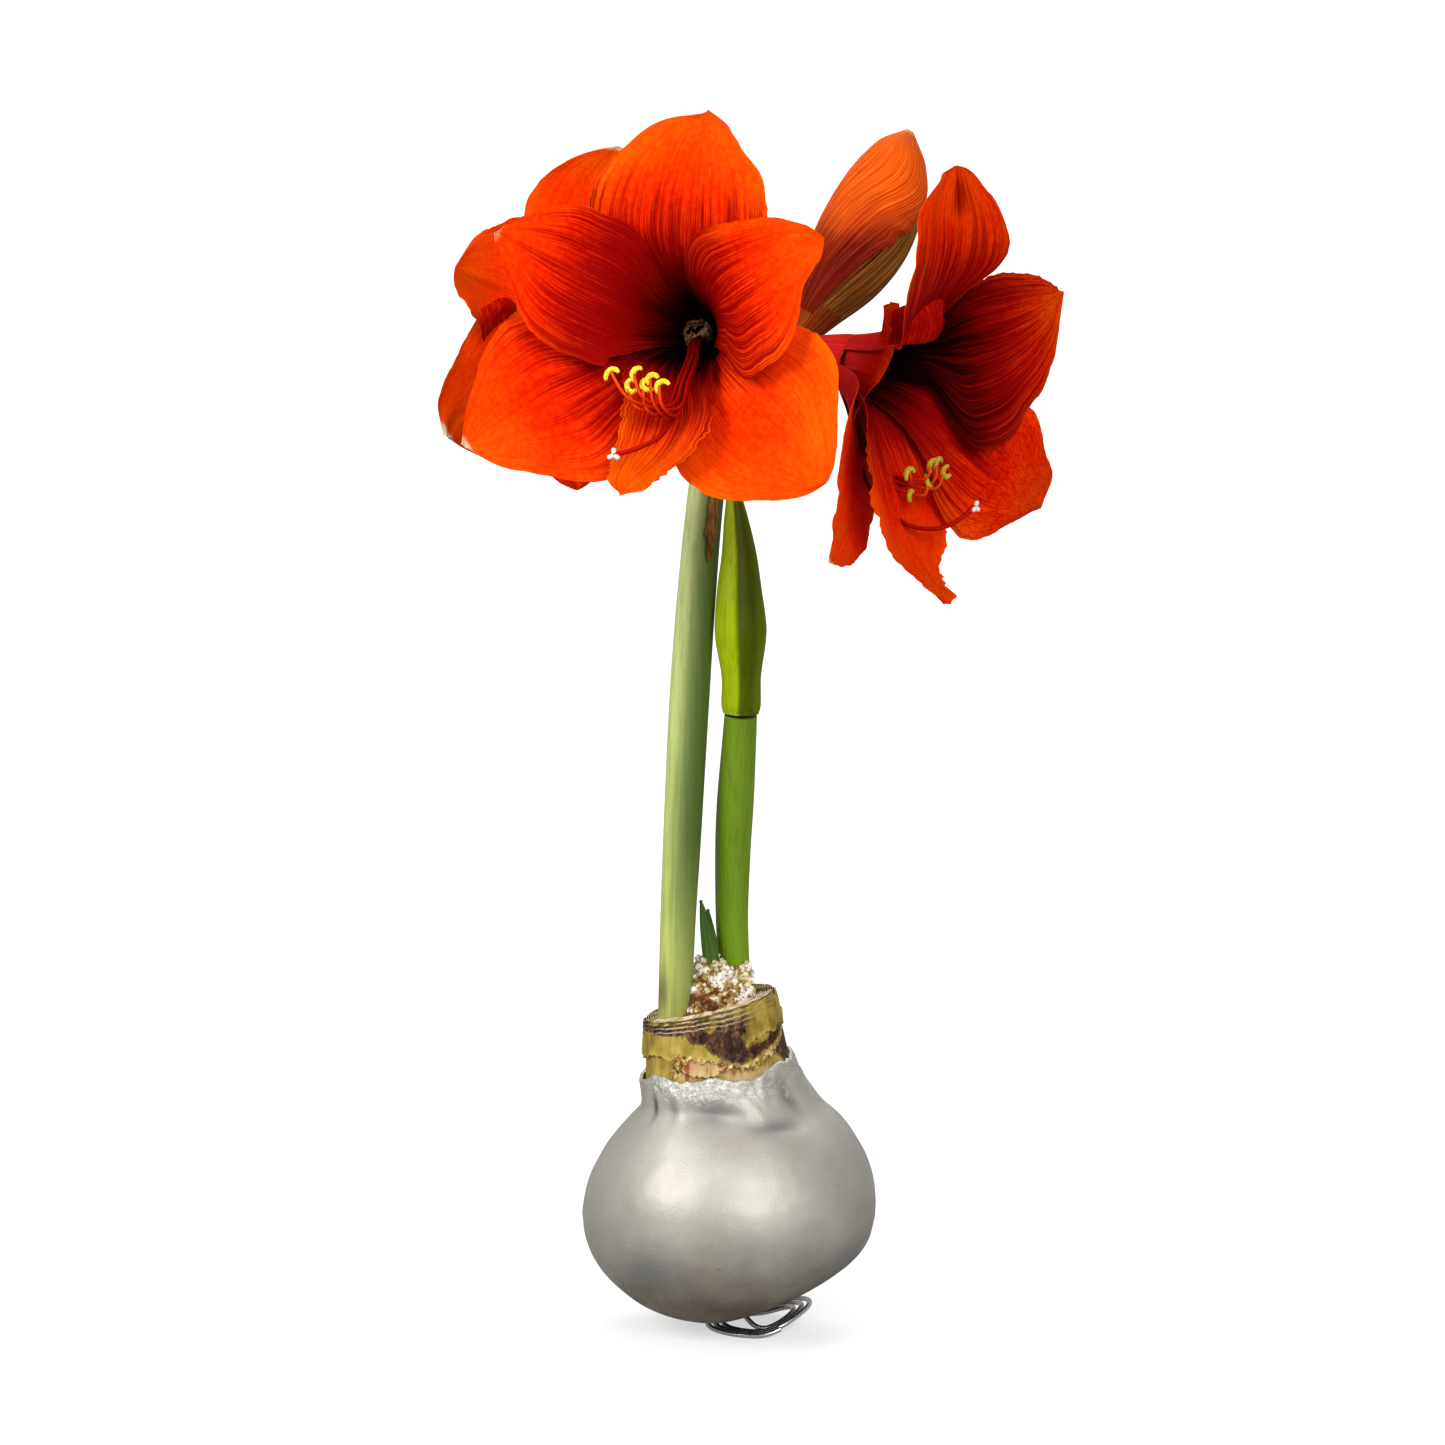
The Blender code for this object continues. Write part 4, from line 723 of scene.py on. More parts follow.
def makeWax():
    count, rows, brim = 240, 34, 24
    angles = around(count)
    low = bulb["waist"] - bulb["bottom"]
    heights = [bulb["waist"] - low * math.cos(math.pi / 2 * k / rows) for k in range(1, rows + 1)]
    heights += [mix(bulb["waist"], bulb["shoulder"], s) for s in even(rows)[1:]]
    edge = {a: waxEdge(a) + 0.9 * rough(6 * math.cos(a), 6 * math.sin(a), 4) for a in angles}
    outer = [[profilePoint(z, a, -waxPress(a, z)) for a in angles] for z in heights]
    levels = [[z] * count for z in heights]
    for s in even(brim)[1:]:
        row = [mix(bulb["shoulder"], edge[a], s) for a in angles]
        levels.append(row)
        outer.append([profilePoint(z, a, -waxPress(a, z)) for a, z in zip(angles, row)])
    lip = [[profilePoint(edge[a] + up, a, inset + 0.3 - waxPress(a, edge[a])) for a in angles]
           for up, inset in ((0.35, 0.1), (0.35, 0.8))]
    within = [bulb["bottom"] + 0.5 + k for k in range(0, 81, 8)]
    inner = [[profilePoint(z, a, bulb["wall"]) for a in angles] for z in within]
    inner.append([profilePoint(edge[a] - 0.8, a, bulb["wall"] - 0.4) for a in angles])
    rings = outer + lip + inner[::-1]
    levels += [[edge[a] for a in angles]] * 2 + [[50] * count] * len(inner)

    def facts(r, k):
        z, angle = levels[r][k], angles[k]
        x, y = math.cos(angle), math.sin(angle)
        # painted shade, darkest at the bottom
        soil = (1 - ease(4, 60, z)) * (1.0 + 0.22 * rough(3 * x, 3 * y, z / 9))
        # more painted shade at the lower right, away from the main lamp
        soil += 0.3 * ease(0.5, 1.0, x) * (1 - ease(20, 60, z))
        # painted shade in a band round the lower body and at the sides
        cool = 0.45 * hump(36, 9, z) * ease(-0.1, 0.5, rough(2 * x, 2 * y, 3))
        cool += 0.25 * ease(0.75, 1.0, abs(x))
        # painted shade in the deeper hollows
        for hollow in waxHollows[:4] + waxHollows[-3:-1]:
            cool = max(cool, hollowAt(hollow, angle, z))
        flake = ease(86, 92, z + 3 * rough(2 * x, 2 * y, 8))
        flake *= 0.3 + 0.7 * hump(0, 38, turnFrom(angle, -120))
        # a dark slit of painted shade in a crease near the rim
        soil = max(soil, hump(0, 3, turnFrom(angle, -145)) * hump(85, 5, z))
        return {"soil": min(1.0, max(0.0, soil)), "cool": cool, "flake": flake}
    shape = Shape()
    shape.addRings(metres(rings), facts)
    shape.piece("wax_dip", finishes["wax"], "silver_wax", "wax_coat")


# Neck of the bulb, with the cut scales and the torn skin

neckScales = dict(rings=8, inner=0.74, sway=0.012)
skinPatches = [   # outlines on the skin: degrees round the neck and share of the height, and what shows there
    dict(kind="brown", rim=[(-113, 0.88), (-106, 0.95), (-101, 0.93), (-91, 0.74), (-83, 0.88), (-73, 0.87),
          (-62, 0.86), (-62, 0.7), (-67, 0.65), (-64, 0.5), (-43, 0.45), (-22, 0.6),
          (-9, 0.53), (-28, 0.36), (-50, 0.32), (-64, 0.32), (-73, 0.29), (-83, 0.35),
          (-91, 0.45), (-97, 0.6), (-108, 0.66), (-113, 0.77)]),
    dict(kind="gold", rim=[(-126, 0.41), (-122, 0.52), (-111, 0.49), (-96, 0.39), (-84, 0.35), (-73, 0.29),
          (-57, 0.28), (-43, 0.29), (-27, 0.39), (0, 0.63), (0, 0.68), (0, 0.49),
          (-12, 0.22), (-43, 0.19), (-64, 0.19), (-81, 0.23), (-98, 0.26), (-110, 0.21),
          (-117, 0.28), (-127, 0.12), (-132, 0.18)]),
    dict(kind="brown", rim=[(-36, 0.26), (-22, 0.38), (0, 0.56), (0, 0.28), (0, 0.09), (-22, 0.1)]),
    dict(kind="tan", rim=[(-122, 0.13), (-113, 0.41), (-87, 0.29), (-57, 0.15), (-22, 0.1), (0, 0.05),
          (0, -0.21), (-43, -0.06), (-87, 0.14)]),
    dict(kind="brown", rim=[(-180, 1.06), (-137, 0.94), (-113, 0.84), (-113, 0.77), (-137, 0.82),
          (-174, 0.89)]),
    dict(kind="brown", rim=[(10, 0.95), (20, 0.3), (48, 0.12), (70, 0.4), (58, 0.9), (30, 0.75)]),
    dict(kind="gold", rim=[(8, 0.3), (30, 0.2), (60, 0.05), (90, 0.3), (86, 0.42), (60, 0.2), (28, 0.32)]),
    dict(kind="brown", rim=[(96, 0.98), (104, 0.4), (128, 0.55), (150, 0.2), (168, 0.6), (150, 0.98)]),
    dict(kind="gold", rim=[(100, 0.38), (128, 0.5), (150, 0.14), (170, 0.5), (176, 0.4), (152, 0.05),
          (126, 0.38), (102, 0.28)]),
]


def patchShare(patch, degrees, reach, ragged):  # 1 inside an outline and 0 outside it
    rim = patch["rim"]
    inside, near = False, 1e9
    for (ax, ay), (bx, by) in zip(rim, rim[1:] + rim[:1]):
        if (ay > reach) != (by > reach) and degrees < (bx - ax) * (reach - ay) / (by - ay) + ax:
            inside = not inside
        dx, dy = (bx - ax) / 60, by - ay   # 60 degrees are about as long as the neck is high
        px, py = (degrees - ax) / 60, reach - ay
        share = min(1, max(0, (px * dx + py * dy) / (dx * dx + dy * dy + 1e-9)))
        near = min(near, math.hypot(px - dx * share, py - dy * share))
    return ease(-0.018, 0.018, (near if inside else -near) + ragged)


def plainMark():
    return dict(brown=0.0, gold=0.0, cream=0.0, groove=0.0, tan=0.0)


def skinMarks(a, reach):
    degrees = turnFrom(a, 0)
    x, y = math.cos(a), math.sin(a)
    ragged = 0.03 * rough(14 * x, 14 * y, 9 * reach) + 0.015 * rough(40 * x, 40 * y, 26 * reach)
    fact = plainMark()
    for patch in skinPatches:
        share = patchShare(patch, degrees, reach, ragged)
        for kind in ("brown", "gold", "tan"):
            fact[kind] = max(fact[kind] * (1 - share), share if kind == patch["kind"] else 0.0)
    rimmed = ease(0.76, 0.85, reach + 0.06 * rough(2 * x, 2 * y, 3))
    rimmed *= ease(-0.7, 0.3, rough(1.5 * x, 1.5 * y, 6) - 0.5 * x)
    layer = 0.5 + 0.5 * math.sin(95 * reach + 2.5 * rough(3 * x, 3 * y, 1))
    fact["brown"] = max(fact["brown"], rimmed * (0.45 + 0.55 * layer))
    fact["cream"] = max(fact["cream"], 0.8 * rimmed * ease(0.86, 1.0, 1 - layer))
    return fact


def neckWall(angle, reach, out):  # a place on the neck's side: 0 at the wax and 1 at the cut
    low = profilePoint(waxEdge(angle) - 2.0, angle, bulb["wall"] + bulb["gap"])
    return mix(low, neckPoint(angle, bulb["rim"], 0.0), reach) + spoke(angle) * out


def makeNeck():
    count, body, wall, cut = 200, 22, 30, 60
    angles = around(count)
    inset = bulb["wall"] + 1.4 * bulb["gap"]
    heights = [bulb["bottom"] + 0.4 + 3.7 * k for k in range(body)]
    rings = [[profilePoint(z, a, inset) for a in angles] for z in heights]
    marks = [[plainMark() for _ in angles] for _ in heights]
    for reach in even(wall):
        flutes = [0.12 * rough(9 * math.cos(a), 9 * math.sin(a), reach) for a in angles]
        rings.append([neckWall(a, reach, flute) for a, flute in zip(angles, flutes)])
        marks.append([skinMarks(a, reach) for a in angles])
    for s in even(cut):
        ring, mark = [], []
        for a in angles:
            x, y = 2.2 * math.cos(a), 2.2 * math.sin(a)
            share = mix(1.0, neckScales["inner"], s) + neckScales["sway"] * rough(x, y, 3 * s)
            wave = (s * neckScales["rings"] + 0.12 * rough(2 * x, 2 * y, 1)) % 1.0
            crest = 1 - abs(2 * wave - 1)
            tall = 0.8 + 0.7 * rough(1.3 * x, 1.3 * y, math.floor(s * neckScales["rings"]))
            lift = (crest - 0.45) * 1.5 * tall - 1.6 * ease(0.9, 1.0, s)
            ring.append(neckPoint(a, bulb["rim"] * share, lift))
            brown = 0.5 + 0.8 * rough(3 * x, 3 * y, 5 * s)
            mark.append(dict(plainMark(), brown=min(1, max(0, 0.3 + brown)) * (1 - ease(0.6, 0.9, crest)),
                             cream=0.9 * ease(0.55, 0.9, crest) * ease(-0.5, 0.2, rough(2 * x, 2 * y, 9)),
                             # painted shade in the troughs between the crests
                             groove=0.95 * (1 - ease(0.15, 0.5, crest))))
        rings.append(ring)
        marks.append(mark)
    rings.append([neckPoint(a, bulb["bowl"] * 0.98, -bulb["bowlDepth"]) for a in angles])
    marks.append(marks[-1])
    shape = Shape()
    shape.addRings(metres(rings), lambda r, k: marks[r][k])
    shape.piece("bulb_scales", finishes["neck"], "bulb_flesh", "bulb")


def makeSkin():
    count, rows = 460, 56
    angles = around(count)

    def torn(a):
        x, y = math.cos(a), math.sin(a)
        jag = 0.05 * rough(7 * x, 7 * y, 2) + 0.03 * rough(20 * x, 20 * y, 5)
        return 0.45 + 0.22 * math.sin(a * 2 + 2.0) + 0.10 * math.sin(5 * a + 0.5) + jag

    def top(a):
        return 0.97 + 0.02 * math.sin(9 * a) + 0.02 * rough(9 * math.cos(a), 9 * math.sin(a), 8)
    rings, marks = [], []
    for side in (1, 0):
        order = range(rows + 1) if side else range(rows, -1, -1)
        for i in order:
            s = i / rows
            ring, mark = [], []
            for a in angles:
                reach = mix(torn(a), top(a), s)
                fact = skinMarks(a, reach)
                x, y = math.cos(a), math.sin(a)
                wrinkle = 0.25 * rough(8 * x, 8 * y, 4 * reach)
                wrinkle += fact["gold"] * (0.35 + 0.5 * rough(22 * x, 22 * y, 16 * reach))
                wrinkle += fact["brown"] * (0.3 * rough(18 * x, 18 * y, 3 * reach) - 0.25)
                curl = 0.5 * (1 - ease(0.0, 0.12, s))
                out = 1.0 + wrinkle + curl if side else 0.35 + wrinkle * 0.5 + curl
                ring.append(neckWall(a, reach, max(0.25, out)))
                mark.append(fact)
            rings.append(ring)
            marks.append(mark)
    shape = Shape()
    shape.addRings(metres(rings), lambda r, k: marks[r][k], loop=True)
    shape.piece("torn_skin", finishes["neck"], "dry_skin", "dry_skin")


# Crumbly remains in the cut neck

crumbs = dict(base=6.0, peak=11.5, spacing=1.25, small=0.5, large=1.56, seed=8, lumps=700.0, rumple=2.6)


def crustHeight(x, y):
    far = math.hypot(x + 15, y + 1) / 9
    edge = math.hypot(x - through(bulbLean, bulb["cut"]), y) / bulb["bowl"]
    front = 6.0 * math.exp(-((x + 12.5)**2 + (y + 5.5)**2) / 20)   # lower before the leaf
    right = 9.5 * math.exp(-((x + 1.0)**2 + (y - 3)**2) / 16)
    return crumbs["base"] * max(0.0, 1 - edge**4) + crumbs["peak"] * math.exp(-far**4) - front + right


def makeCrust():
    count = 72
    angles = around(count)
    outer = bulb["bowl"] - 0.7
    rings = [[neckPoint(a, 0.97 * outer, lift) for a in angles] for lift in (0.4 - bulb["bowlDepth"], -1.0)]
    for k in range(1, 20):
        share = 1 - k / 20
        ring = []
        for a in angles:
            point = neckPoint(a, outer * share, 0.0)
            lump = 2.6 * rough(point.x / 4.2, point.y / 4.2, 3) + 0.9 * rough(point.x / 1.3, point.y / 1.3, 7)
            point.z += crustHeight(point.x, point.y) + lump - 1.2 * share
            ring.append(point)
        rings.append(ring)
    mound = Shape()
    mound.addRings(metres(rings))
    tree = Grower("crumbs on a mound", "Spacing Small Large", "Seed")
    ground = tree.given("Geometry")
    crumb = tree.add("GeometryNodeMeshIcoSphere", {"Radius": 1.0, "Subdivisions": 2})
    inputs = {"Geometry": tree.scatter(ground, 4e5), "Name": "kind", "Value": tree.pick(0.0, 1.0, 11)}
    marked = tree.add("GeometryNodeStoreNamedAttribute", inputs, data_type="FLOAT", domain="POINT")
    size, turn = tree.pick(tree.given("Small"), tree.given("Large"), 5), tree.pick((0, 0, 0), (3, 3, 6), 7)
    inputs = {"Points": marked, "Instance": crumb, "Rotation": turn, "Scale": size}
    spread = tree.add("GeometryNodeInstanceOnPoints", inputs)
    tree.close(tree.join(ground, tree.rumple(spread, crumbs["lumps"], crumbs["rumple"] * mm)))
    sizes = {key.title(): crumbs[key] * mm for key in ("spacing", "small", "large")}
    obj = tree.grow("crumbly_crust", mound.points, (), mound.faces, Seed=crumbs["seed"],
                    Material=finishes["crumb"], **sizes)
    settle(obj, "crust", "crust")


# Leaves that just show in the neck

leaves = {
    "front": dict(base=(-11.2, -2.2, 119.0), tip=(-17.5, -0.8, 155.7), width=6.4, bow=1.5),
    "back": dict(base=(-11.5, 5.0, 119.0), tip=(-15.0, 5.2, 151.5), width=6.0, bow=-1.2),
}
leafOutline = [(0.0, 1.0), (0.45, 0.92), (0.75, 0.62), (0.93, 0.28), (1.0, 0.06)]


def makeLeaf(name, leaf):
    base, tip = Vector(leaf["base"]), Vector(leaf["tip"])
    side = Vector((1, 0.35, 0)).normalized()

    def surface(t, v):
        half = leaf["width"] / 2 * through(leafOutline, t)
        bow = leaf["bow"] * v * v * (1 - t) + 0.25 * hump(0, 0.2, v)
        return (base + (tip - base) * t + side * v * half + Vector((0, bow, 0))) * mm

    def facts(t, v):
        # painted shade along the middle crease of the leaf
        return {"along": t, "dusk": 0.5 * hump(0, 0.12, v), "smudge": 0.5 * ease(0.96, 1.0, t)}
    shape = Shape()
    shape.addSheet(surface, even(40), bothSides(8), lambda t, v: 1.2 * mm * (1 - 0.5 * v * v),
                   facts)
    shape.piece("leaf_blade_" + name, finishes["leaf"], "leaf_green", "leaf_" + name)


# Stems: x, y, z and radius

tallScape = [
    (-27.2, -7.2, 104.0, 5.8), (-26.6, -7.0, 121.0, 6.0), (-25.6, -6.0, 149.0, 6.3),
    (-24.3, -5.0, 175.0, 6.7), (-21.5, -3.0, 228.0, 7.1), (-19.1, -1.0, 263.0, 6.9),
    (-15.9, 1.5, 298.0, 6.5), (-12.4, 3.8, 324.0, 6.5), (-10.8, 4.2, 334.0, 7.6),
]
shortScape = [
    (-4.6, 8.4, 106.0, 5.2), (-4.9, 8.4, 122.0, 5.3), (-6.1, 8.0, 140.0, 5.7), (-6.4, 7.2, 152.0, 5.9),
    (-6.0, 5.0, 174.4, 6.4), (-5.2, 2.5, 190.5, 6.6), (-3.9, -0.8, 211.8, 6.1), (-3.3, -2.4, 222.4, 5.8),
]
closedBud = [
    (-3.3, -2.6, 223.2, 6.2), (-3.2, -2.8, 226.0, 6.8), (-3.1, -4.4, 236.2, 6.8), (-3.3, -5.8, 248.7, 8.6),
    (-3.4, -6.0, 254.8, 8.9), (-3.8, -5.8, 267.1, 7.7), (-3.9, -5.0, 279.1, 6.1), (-4.9, -4.4, 291.4, 4.3),
    (-5.6, -3.6, 299.0, 2.9), (-6.6, -3.0, 309.0, 1.0),
]


def stationAt(stations, z):  # middle and radius of a stem at a height
    x, y, r = (through([(s[2], s[i]) for s in stations], z) for i in (0, 1, 3))
    return Vector((x, y, z)), r


def makeStem(name, stations, finish, slot, node, rows, sides, shape=None, paint=None):
    low, high = stations[0][2], stations[-1][2]
    path, radii = [], []
    for k in range(rows + 1):
        middle, radius = stationAt(stations, mix(low, high, k / rows))
        path.append(middle * mm)
        radii.append(radius * mm)

    def facts(r, k):
        fact = {"along": r / rows, "dusk": 0.0, "smudge": 0.0}
        fact.update(paint(r / rows, 2 * math.pi * k / sides) if paint else {})
        return fact

    def section(r, angle):
        return shape(r / rows, angle) if shape else 1.0
    stem = Shape()
    stem.addTube(path, radii, sides, facts, section)
    return stem.piece(name, finishes[finish], slot, node)


# Flower stalks with their ovaries

umbel = dict(middle=(-10.2, 4.2, 337.0),
             profile=[(7.0, -4.0), (8.0, -1.0), (7.6, 2.0), (5.4, 4.6), (2.0, 5.8)])
stalk = dict(radius=3.1, ovary=4.6, length=14.0, profile=[(0.25, 0.92), (0.6, 1.0), (1.0, 0.86)])
openingBud = dict(base=(12.6, 13.0, 351.0), tip=(56.9, 30.0, 427.8), radius=15.4, bow=(4.0, 0.0, -2.4),
                  root=4.4, profile=[(0.0, 0.30), (0.15, 0.55), (0.35, 0.88), (0.55, 1.0), (0.75, 0.84),
                                     (0.9, 0.48), (1.0, 0.05)])

# dark gives how far the black throat and the deep red reach, own colour with painted shade; the patches are
# spots of painted shadow
petalPlain = dict(bend=0, sway=None, inner=False, skirt=0.0, slant=0.0, blunt=0.1, cup=0.010, flare=1.0,
                  ruffle=1.1, ragged=0.7, tone=0.0, dark=(12, 34), claw=0.0, pale=0.0, rise=60, curl=-0.25,
                  net=0.3, shadePatches=())
innerPlain = dict(petalPlain, inner=True, cup=0.014, rise=62)
rimStations = (0.3, 0.4, 0.5, 0.6, 0.69, 0.77, 0.84, 0.9, 0.945, 0.975, 0.992)  # shares of a petal's length
plainRim = [11, 16, 22, 28, 30, 29, 25, 18, 12, 7, 2.5]
blooms = {   # left and right are a petal's half widths at the stations
    "front": dict(
        base=(-11.3, -39.2, 355.9), heading=252, lift=8, olive=0.0,
        petals=[
            dict(azimuth=86.2, reach=71.1, rise=58, bend=-7.4, dark=(16, 58), tone=0.03,
                 left=[16, 22.5, 28, 31.5, 31, 28.5, 24.5, 16.5, 11, 6.5, 2.5],
                 right=[13.5, 17.5, 24, 30, 32, 31, 28, 23, 17.5, 11, 1]),
            dict(azimuth=213.5, reach=80.1, bend=-2.4, cup=0.008, dark=(15, 60), tone=-0.02, claw=0.9,
                 pale=1.0,
                 left=[5, 7, 10.5, 19.5, 28, 27.5, 23.5, 17, 11, 5.5, 2],
                 right=[10.5, 18, 25, 31.5, 36.5, 33.5, 26, 19, 13, 7, 2.5]),
            dict(azimuth=319.3, reach=78.4, bend=-0.5, cup=0.008, dark=(14, 46), tone=0.15, claw=0.5,
                 left=[13, 16, 21.5, 28.5, 31.5, 31, 28, 21.5, 15.5, 10.5, 5.5],
                 right=[14, 17.5, 22.5, 27.5, 31.5, 33, 30.5, 22, 14.5, 8.5, 4.5]),
            dict(azimuth=161.3, reach=63.1, bend=-8.9, inner=True, dark=(15, 64),
                 tone=-0.14, claw=0.5, pale=0.4,
                 left=[8, 15, 21.5, 24.5, 24, 23, 19, 14, 9, 5, 2.5],
                 right=[8.5, 15, 22, 23, 23.5, 22.5, 18.5, 11.5, 7.5, 4.5, 2],
                 # painted shadow where this petal lies under its neighbour
                 shadePatches=((-0.8, 0.6, 0.40, 0.2, 0.95),)),
            dict(azimuth=26.1, reach=61.8, inner=True, dark=(16, 50), tone=-0.04,
                 left=[10, 13.5, 20.5, 31.5, 31.5, 30.5, 23, 11.5, 8, 5, 2],
                 right=[11, 17, 19, 21.5, 20, 18, 15.5, 13, 9, 5.5, 2.5]),
            dict(azimuth=262, reach=58, rise=66, sway=(7.4, 15.2, 13.1, -0.7), inner=True, cup=0.012,
                 dark=(22, 62), ragged=3.2, tone=0.16,
                 left=[10, 14, 18, 20, 20, 19, 17, 14, 10, 6, 1.5],
                 right=[8.5, 10.5, 11.5, 10.5, 9.5, 8.5, 8, 6.5, 5.5, 4, 1]),
        ],
        bundle=[(3.7, -5.0, 36), (7.6, -11.3, 50), (9.5, -20.6, 64), (8.8, -30.6, 73)],
        anthers=[(-10.5, -17.9, 80), (-2.1, -18.5, 81), (-4.0, -24.0, 80), (0.8, -23.1, 79), (2.7, -19.4, 78),
                 (5.9, -21.7, 78)],
        style=[(0.8, -6.7, 30), (9.3, -24.1, 62), (7.0, -37.3, 74), (0.4, -42.7, 78), (-7.8, -45.6, 80)]),
    "right": dict(
        base=(20.0, -16.0, 351.3), heading=326, lift=-9, olive=0.8,
        petals=[
            dict(azimuth=96.1, reach=75.4, rise=58, bend=7.3, skirt=0.5, dark=(20, 74), tone=-0.08,
                 # painted shade beside the folded-back corner of the tip
                 shadePatches=((-0.05, 0.3, 0.93, 0.08, 0.8),),
                 left=[14, 14, 15, 18.5, 27, 27.5, 25, 20, 13.5, 9.5, 5.5],
                 right=[18, 25, 30, 32, 33.5, 33, 32, 30, 22, 12, 9]),
            dict(azimuth=325.3, reach=86.6, bend=1.7, cup=0.008, dark=(18, 60), tone=-0.05, net=1.0,
                 left=[20, 28, 34, 37, 37, 32, 24, 16, 9, 4, 1.5],
                 right=[12, 14, 16, 17, 20, 20.5, 16.5, 14.5, 13, 12.5, 10]),
            dict(azimuth=230, reach=77.6, rise=50, sway=(6.9, 8.3, 9.9, 2.6), flare=0.2, skirt=0.6,
                 ragged=1.6, dark=(10, 40), pale=0.7, tone=-0.03,
                 left=[18, 21, 23, 22, 19, 15, 12, 9, 5, 3, 1.5],
                 right=[12, 14, 16, 17, 16, 14, 12, 10, 7, 4, 2]),
            dict(azimuth=31.6, reach=63.1, bend=-2.3, inner=True, skirt=1.1,
                 dark=(26, 74), ragged=1.4, net=0.8, left=[26, 33, 36, 35, 30, 25, 20.5, 16, 9, 3, 1],
                 right=[12, 19.5, 30, 32, 29, 24, 18.5, 12.5, 7, 3.5, 1]),
            dict(azimuth=262, reach=75.6, sway=(-5.5, -5.0, -1.3, 18.2), inner=True, cup=0.012,
                 flare=0.3, ragged=6.0, ruffle=1.8, skirt=0.5, dark=(16, 56), tone=-0.04, claw=1.2,
                 left=[15, 22, 27, 29, 28, 25, 22, 16, 9, 5, 1.5],
                 right=[10, 15, 21, 23.5, 23, 20, 14.5, 7, 3.5, 4.5, 1.5]),
            dict(azimuth=188, reach=19, rise=43, slant=14, blunt=1.0, inner=True, cup=0.004, flare=0.1,
                 dark=(9, 30), tone=-0.05,
                 left=[14, 17, 20, 23, 25, 26, 27, 27.5, 27.5, 27, 26],
                 right=[12, 14, 16, 17, 18, 19, 19, 19, 18.5, 18, 17]),
        ],
        bundle=[(-1.8, -13.1, 20), (-8.7, -22.1, 30), (-12.0, -29.3, 39), (-13.7, -35.1, 48)],
        anthers=[(-17.2, -29.7, 57), (-8.3, -27.5, 60), (-2.1, -30.9, 62), (-9.5, -34.2, 61),
                 (-15.4, -37.5, 58), (-3.9, -26.7, 60)],
        style=[(-0.7, -19.8, 22), (-15.5, -36.6, 40), (-16.6, -43.6, 50), (-15.2, -48.3, 58),
               (-10.7, -48.9, 65), (-5.0, -46.6, 70), (1.9, -40.3, 74)]),
    "back": dict(
        base=(-30.8, 39.0, 358.0), heading=120, lift=0, olive=0.3,
        petals=[
            dict(azimuth=97.4, reach=66.1, rise=58, bend=4.6, claw=0.8, pale=0.9, tone=0.06,
                 left=[12, 15, 21, 26.5, 30.5, 30.5, 27.5, 23.5, 17, 10, 4],
                 right=[11, 19, 27, 33, 34, 33, 31, 26, 20, 13, 5]),
            dict(azimuth=329.2, reach=70.3, bend=-5.6, claw=0.9, pale=1.0, tone=0.06,
                 left=[20.5, 25, 29, 33, 34, 33, 29, 21.5, 13, 7, 2],
                 right=[10, 14, 20, 26.5, 27, 23.5, 20, 17, 14, 10.5, 5],
                 # painted shade beside the folded edge
                 shadePatches=((0.9, 0.35, 0.66, 0.1, 0.9),)),
            dict(azimuth=212, reach=68, cup=0.008, left=plainRim, right=plainRim),
            dict(azimuth=28, reach=53.9, bend=-5.9, inner=True, tone=0.1, ragged=1.6,
                 left=[13, 14, 15.5, 16, 16.5, 15.5, 14, 10, 7.5, 4.5, 2.5],
                 right=[6.5, 9.5, 13.5, 20, 26.5, 27.5, 27.5, 21.5, 17, 12, 6]),
            dict(azimuth=150, reach=62, inner=True, left=plainRim, right=plainRim),
            dict(azimuth=270.8, reach=62, inner=True, cup=0.012, tone=-0.2,
                 left=[13, 19.5, 21, 22.5, 22.5, 21.5, 19, 14.5, 11, 7, 3],
                 right=[8, 10, 12, 14, 15, 15.5, 16.5, 14, 11, 7, 3]),
        ],
        bundle=[(0.3, -3.8, 24), (-2.6, -10.6, 42), (-3.8, -18.3, 58), (-2.8, -26.0, 66)],
        anthers=[(10.5, -15.9, 74), (2.1, -17.5, 76), (4.0, -22.0, 75), (-0.8, -21.1, 74), (-4.7, -17.4, 73),
                 (7.9, -20.7, 73)],
        style=[(0.8, -6.7, 30), (3.3, -20.1, 58), (7.0, -31.3, 70), (8.4, -36.7, 74), (6.8, -36.6, 79)]),
}
for bloom in blooms.values():
    bloom["petals"] = [dict(innerPlain if petal.get("inner") else petalPlain, **petal)
                       for petal in bloom["petals"]]
folds = {   # small folded margins: three rows of three places in the bloom's own millimetres
    "right": [dict(blush=0.78, tone=-0.08, rows=(
        ((-25.2, 23.4, 46.5), (-9.0, 27.8, 50), (2.7, 28.3, 50)),
        ((-25.0, 17.6, 46.5), (-9.0, 20.5, 54), (1.9, 21.8, 51)),
        ((-24.2, 11.8, 46), (-8.2, 13.1, 52), (-1.8, 16.0, 52))))],
    "back": [dict(blush=0.75, tone=-0.1, rows=(
        ((47.6, 3.2, 56), (38.5, 9.4, 55), (30.0, 6.9, 57)),
        ((46.0, -2.0, 55), (38.9, 5.0, 53), (30.2, 5.5, 56)),
        ((43.9, -6.4, 57), (39.0, 0.0, 55), (30.8, 4.0, 57))))],
}
whorlGap = 1.9
tubeProfile = [(4.4, 0.0), (6.2, 2.6), (7.4, 6.0), (9.0, 13.0), (9.8, 19.0), (9.4, 20.0), (5.2, 20.0),
               (4.6, 19.0), (3.9, 13.0), (3.7, 9.5)]   # radius and height: up outside, down inside


